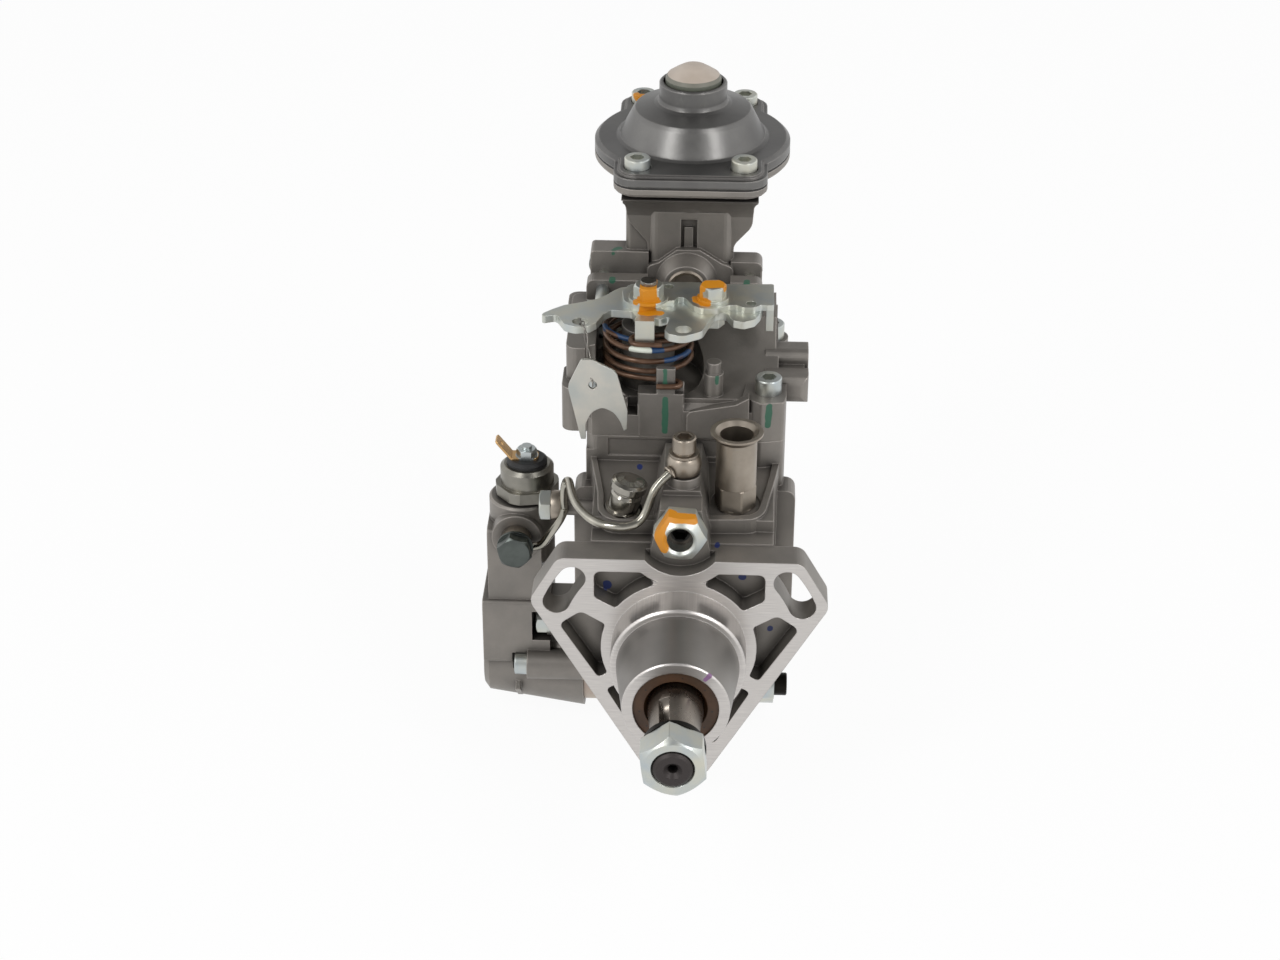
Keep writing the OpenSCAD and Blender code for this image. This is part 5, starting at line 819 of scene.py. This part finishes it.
# %% [markdown]
# ## Floor, background and light
#
# The pump was shot in a white booth. The floor is a plain pale plane just below the lowest
# casting, and it is white to the camera and to reflections except where the pump shades it. The
# world is white to the camera too, and grey overhead, where such a booth is open, so that level
# metal faces come out darker than upright ones. Two narrow soft boxes light the front and draw
# the streaks on the boost cover.

# %% Floor
FLOOR_HALF, FLOOR_GAP, FLOOR_WHITENESS = 6.0, 0.5, 0.94
bm = bmesh.new()
bmesh.ops.create_grid(bm, x_segments=1, y_segments=1, size=FLOOR_HALF)
bmesh.ops.translate(bm, vec=(0, 0, cad_box[0].z - FLOOR_GAP * MM), verts=bm.verts)
floor_mesh = bpy.data.meshes.new("floor")
bm.to_mesh(floor_mesh)
bm.free()
floor = bpy.data.objects.new("floor", floor_mesh)
bpy.context.collection.objects.link(floor)

paper, tree, shader, _ = new_material("white paper", Roughness=0.9)
shader.inputs["Base Color"].default_value = linear("#ececec")
glow = add(tree, "Emission", {"Color": "#ffffff", "Strength": 1.0})
ray = add(tree, "LightPath").outputs
mirrored = add(tree, "Math", {0: ray["Is Glossy Ray"], 1: ray["Is Transmission Ray"]},
               operation="MAXIMUM")
seen = add(tree, "Math", {0: ray["Is Camera Ray"], 1: mirrored}, operation="MAXIMUM")
share = add(tree, "Math", {0: seen, 1: FLOOR_WHITENESS}, operation="MULTIPLY")
both = add(tree, "MixShader", {0: share, 1: shader, 2: glow})
tree.links.new(both.outputs[0], tree.nodes["Material Output"].inputs[0])
floor_mesh.materials.append(paper)
print("floor", FLOOR_GAP, "mm below the pump")

# %% World
OPEN_ABOVE, BOOTH_GREY, OVERHEAD_GREY = 0.12, 0.64, 0.16
world = bpy.data.worlds.new("booth")
bpy.context.scene.world = world
world.use_nodes = True
tree = world.node_tree
tree.nodes.clear()
direction = add(tree, "SeparateXYZ", {0: add(tree, "TexCoord").outputs["Generated"]}).outputs
overhead = add(tree, "Math", {0: direction["Y"], 1: -0.1, 2: direction["Z"]},
               operation="MULTIPLY_ADD")
middle = add(tree, "MapRange", {"Value": overhead, "From Min": 0.3, "From Max": 0.95,
                                "To Min": BOOTH_GREY, "To Max": OVERHEAD_GREY},
             interpolation_type="SMOOTHSTEP")
# The booth's side walls are lit: brighter the further a ray points to the side
sideways = add(tree, "Math", {0: direction["X"], 1: direction["X"]}, operation="MULTIPLY")
strength = add(tree, "Math", {0: sideways, 1: middle}, operation="ADD")
booth = add(tree, "Background", {"Color": "#ffffff", "Strength": strength})
white = add(tree, "Background", {"Color": "#ffffff", "Strength": 1.0})
# Metal shows the white backdrop too, up to a little above the horizon where the booth is open
ray = add(tree, "LightPath").outputs
backdrop = add(tree, "Math", {0: direction["Z"], 1: OPEN_ABOVE}, operation="LESS_THAN")
mirrored = add(tree, "Math", {0: ray["Is Glossy Ray"], 1: ray["Is Transmission Ray"]},
               operation="MAXIMUM")
mirrored = add(tree, "Math", {0: mirrored, 1: backdrop}, operation="MULTIPLY")
seen = add(tree, "Math", {0: ray["Is Camera Ray"], 1: mirrored}, operation="MAXIMUM")
add(tree, "OutputWorld", {0: add(tree, "MixShader", {0: seen, 1: booth, 2: white})})
print("world from", BOOTH_GREY, "at the walls to", OVERHEAD_GREY, "overhead")

# %% Soft boxes
BOX_SIZE, AIMED_AT = (0.2, 0.7), Vector((0, 0.06, 0.03))
for name, at, watts in (("left soft box", Vector((-0.62, -0.62, 0.85)), 5.2),
                        ("right soft box", Vector((0.66, -0.6, 0.85)), 4.6)):
    lamp = bpy.data.lights.new(name, "AREA")
    lamp.shape = "RECTANGLE"
    lamp.size, lamp.size_y = BOX_SIZE
    lamp.energy = watts
    box = bpy.data.objects.new(name, lamp)
    box.location = at
    box.rotation_euler = (AIMED_AT - at).to_track_quat("-Z", "Y").to_euler()
    bpy.context.collection.objects.link(box)
    print(name, watts, "W")

# %% [markdown]
# ## Size
#
# The dressed model has to stay as large as the CAD model, and the CAD model's size is printed
# when it is loaded.
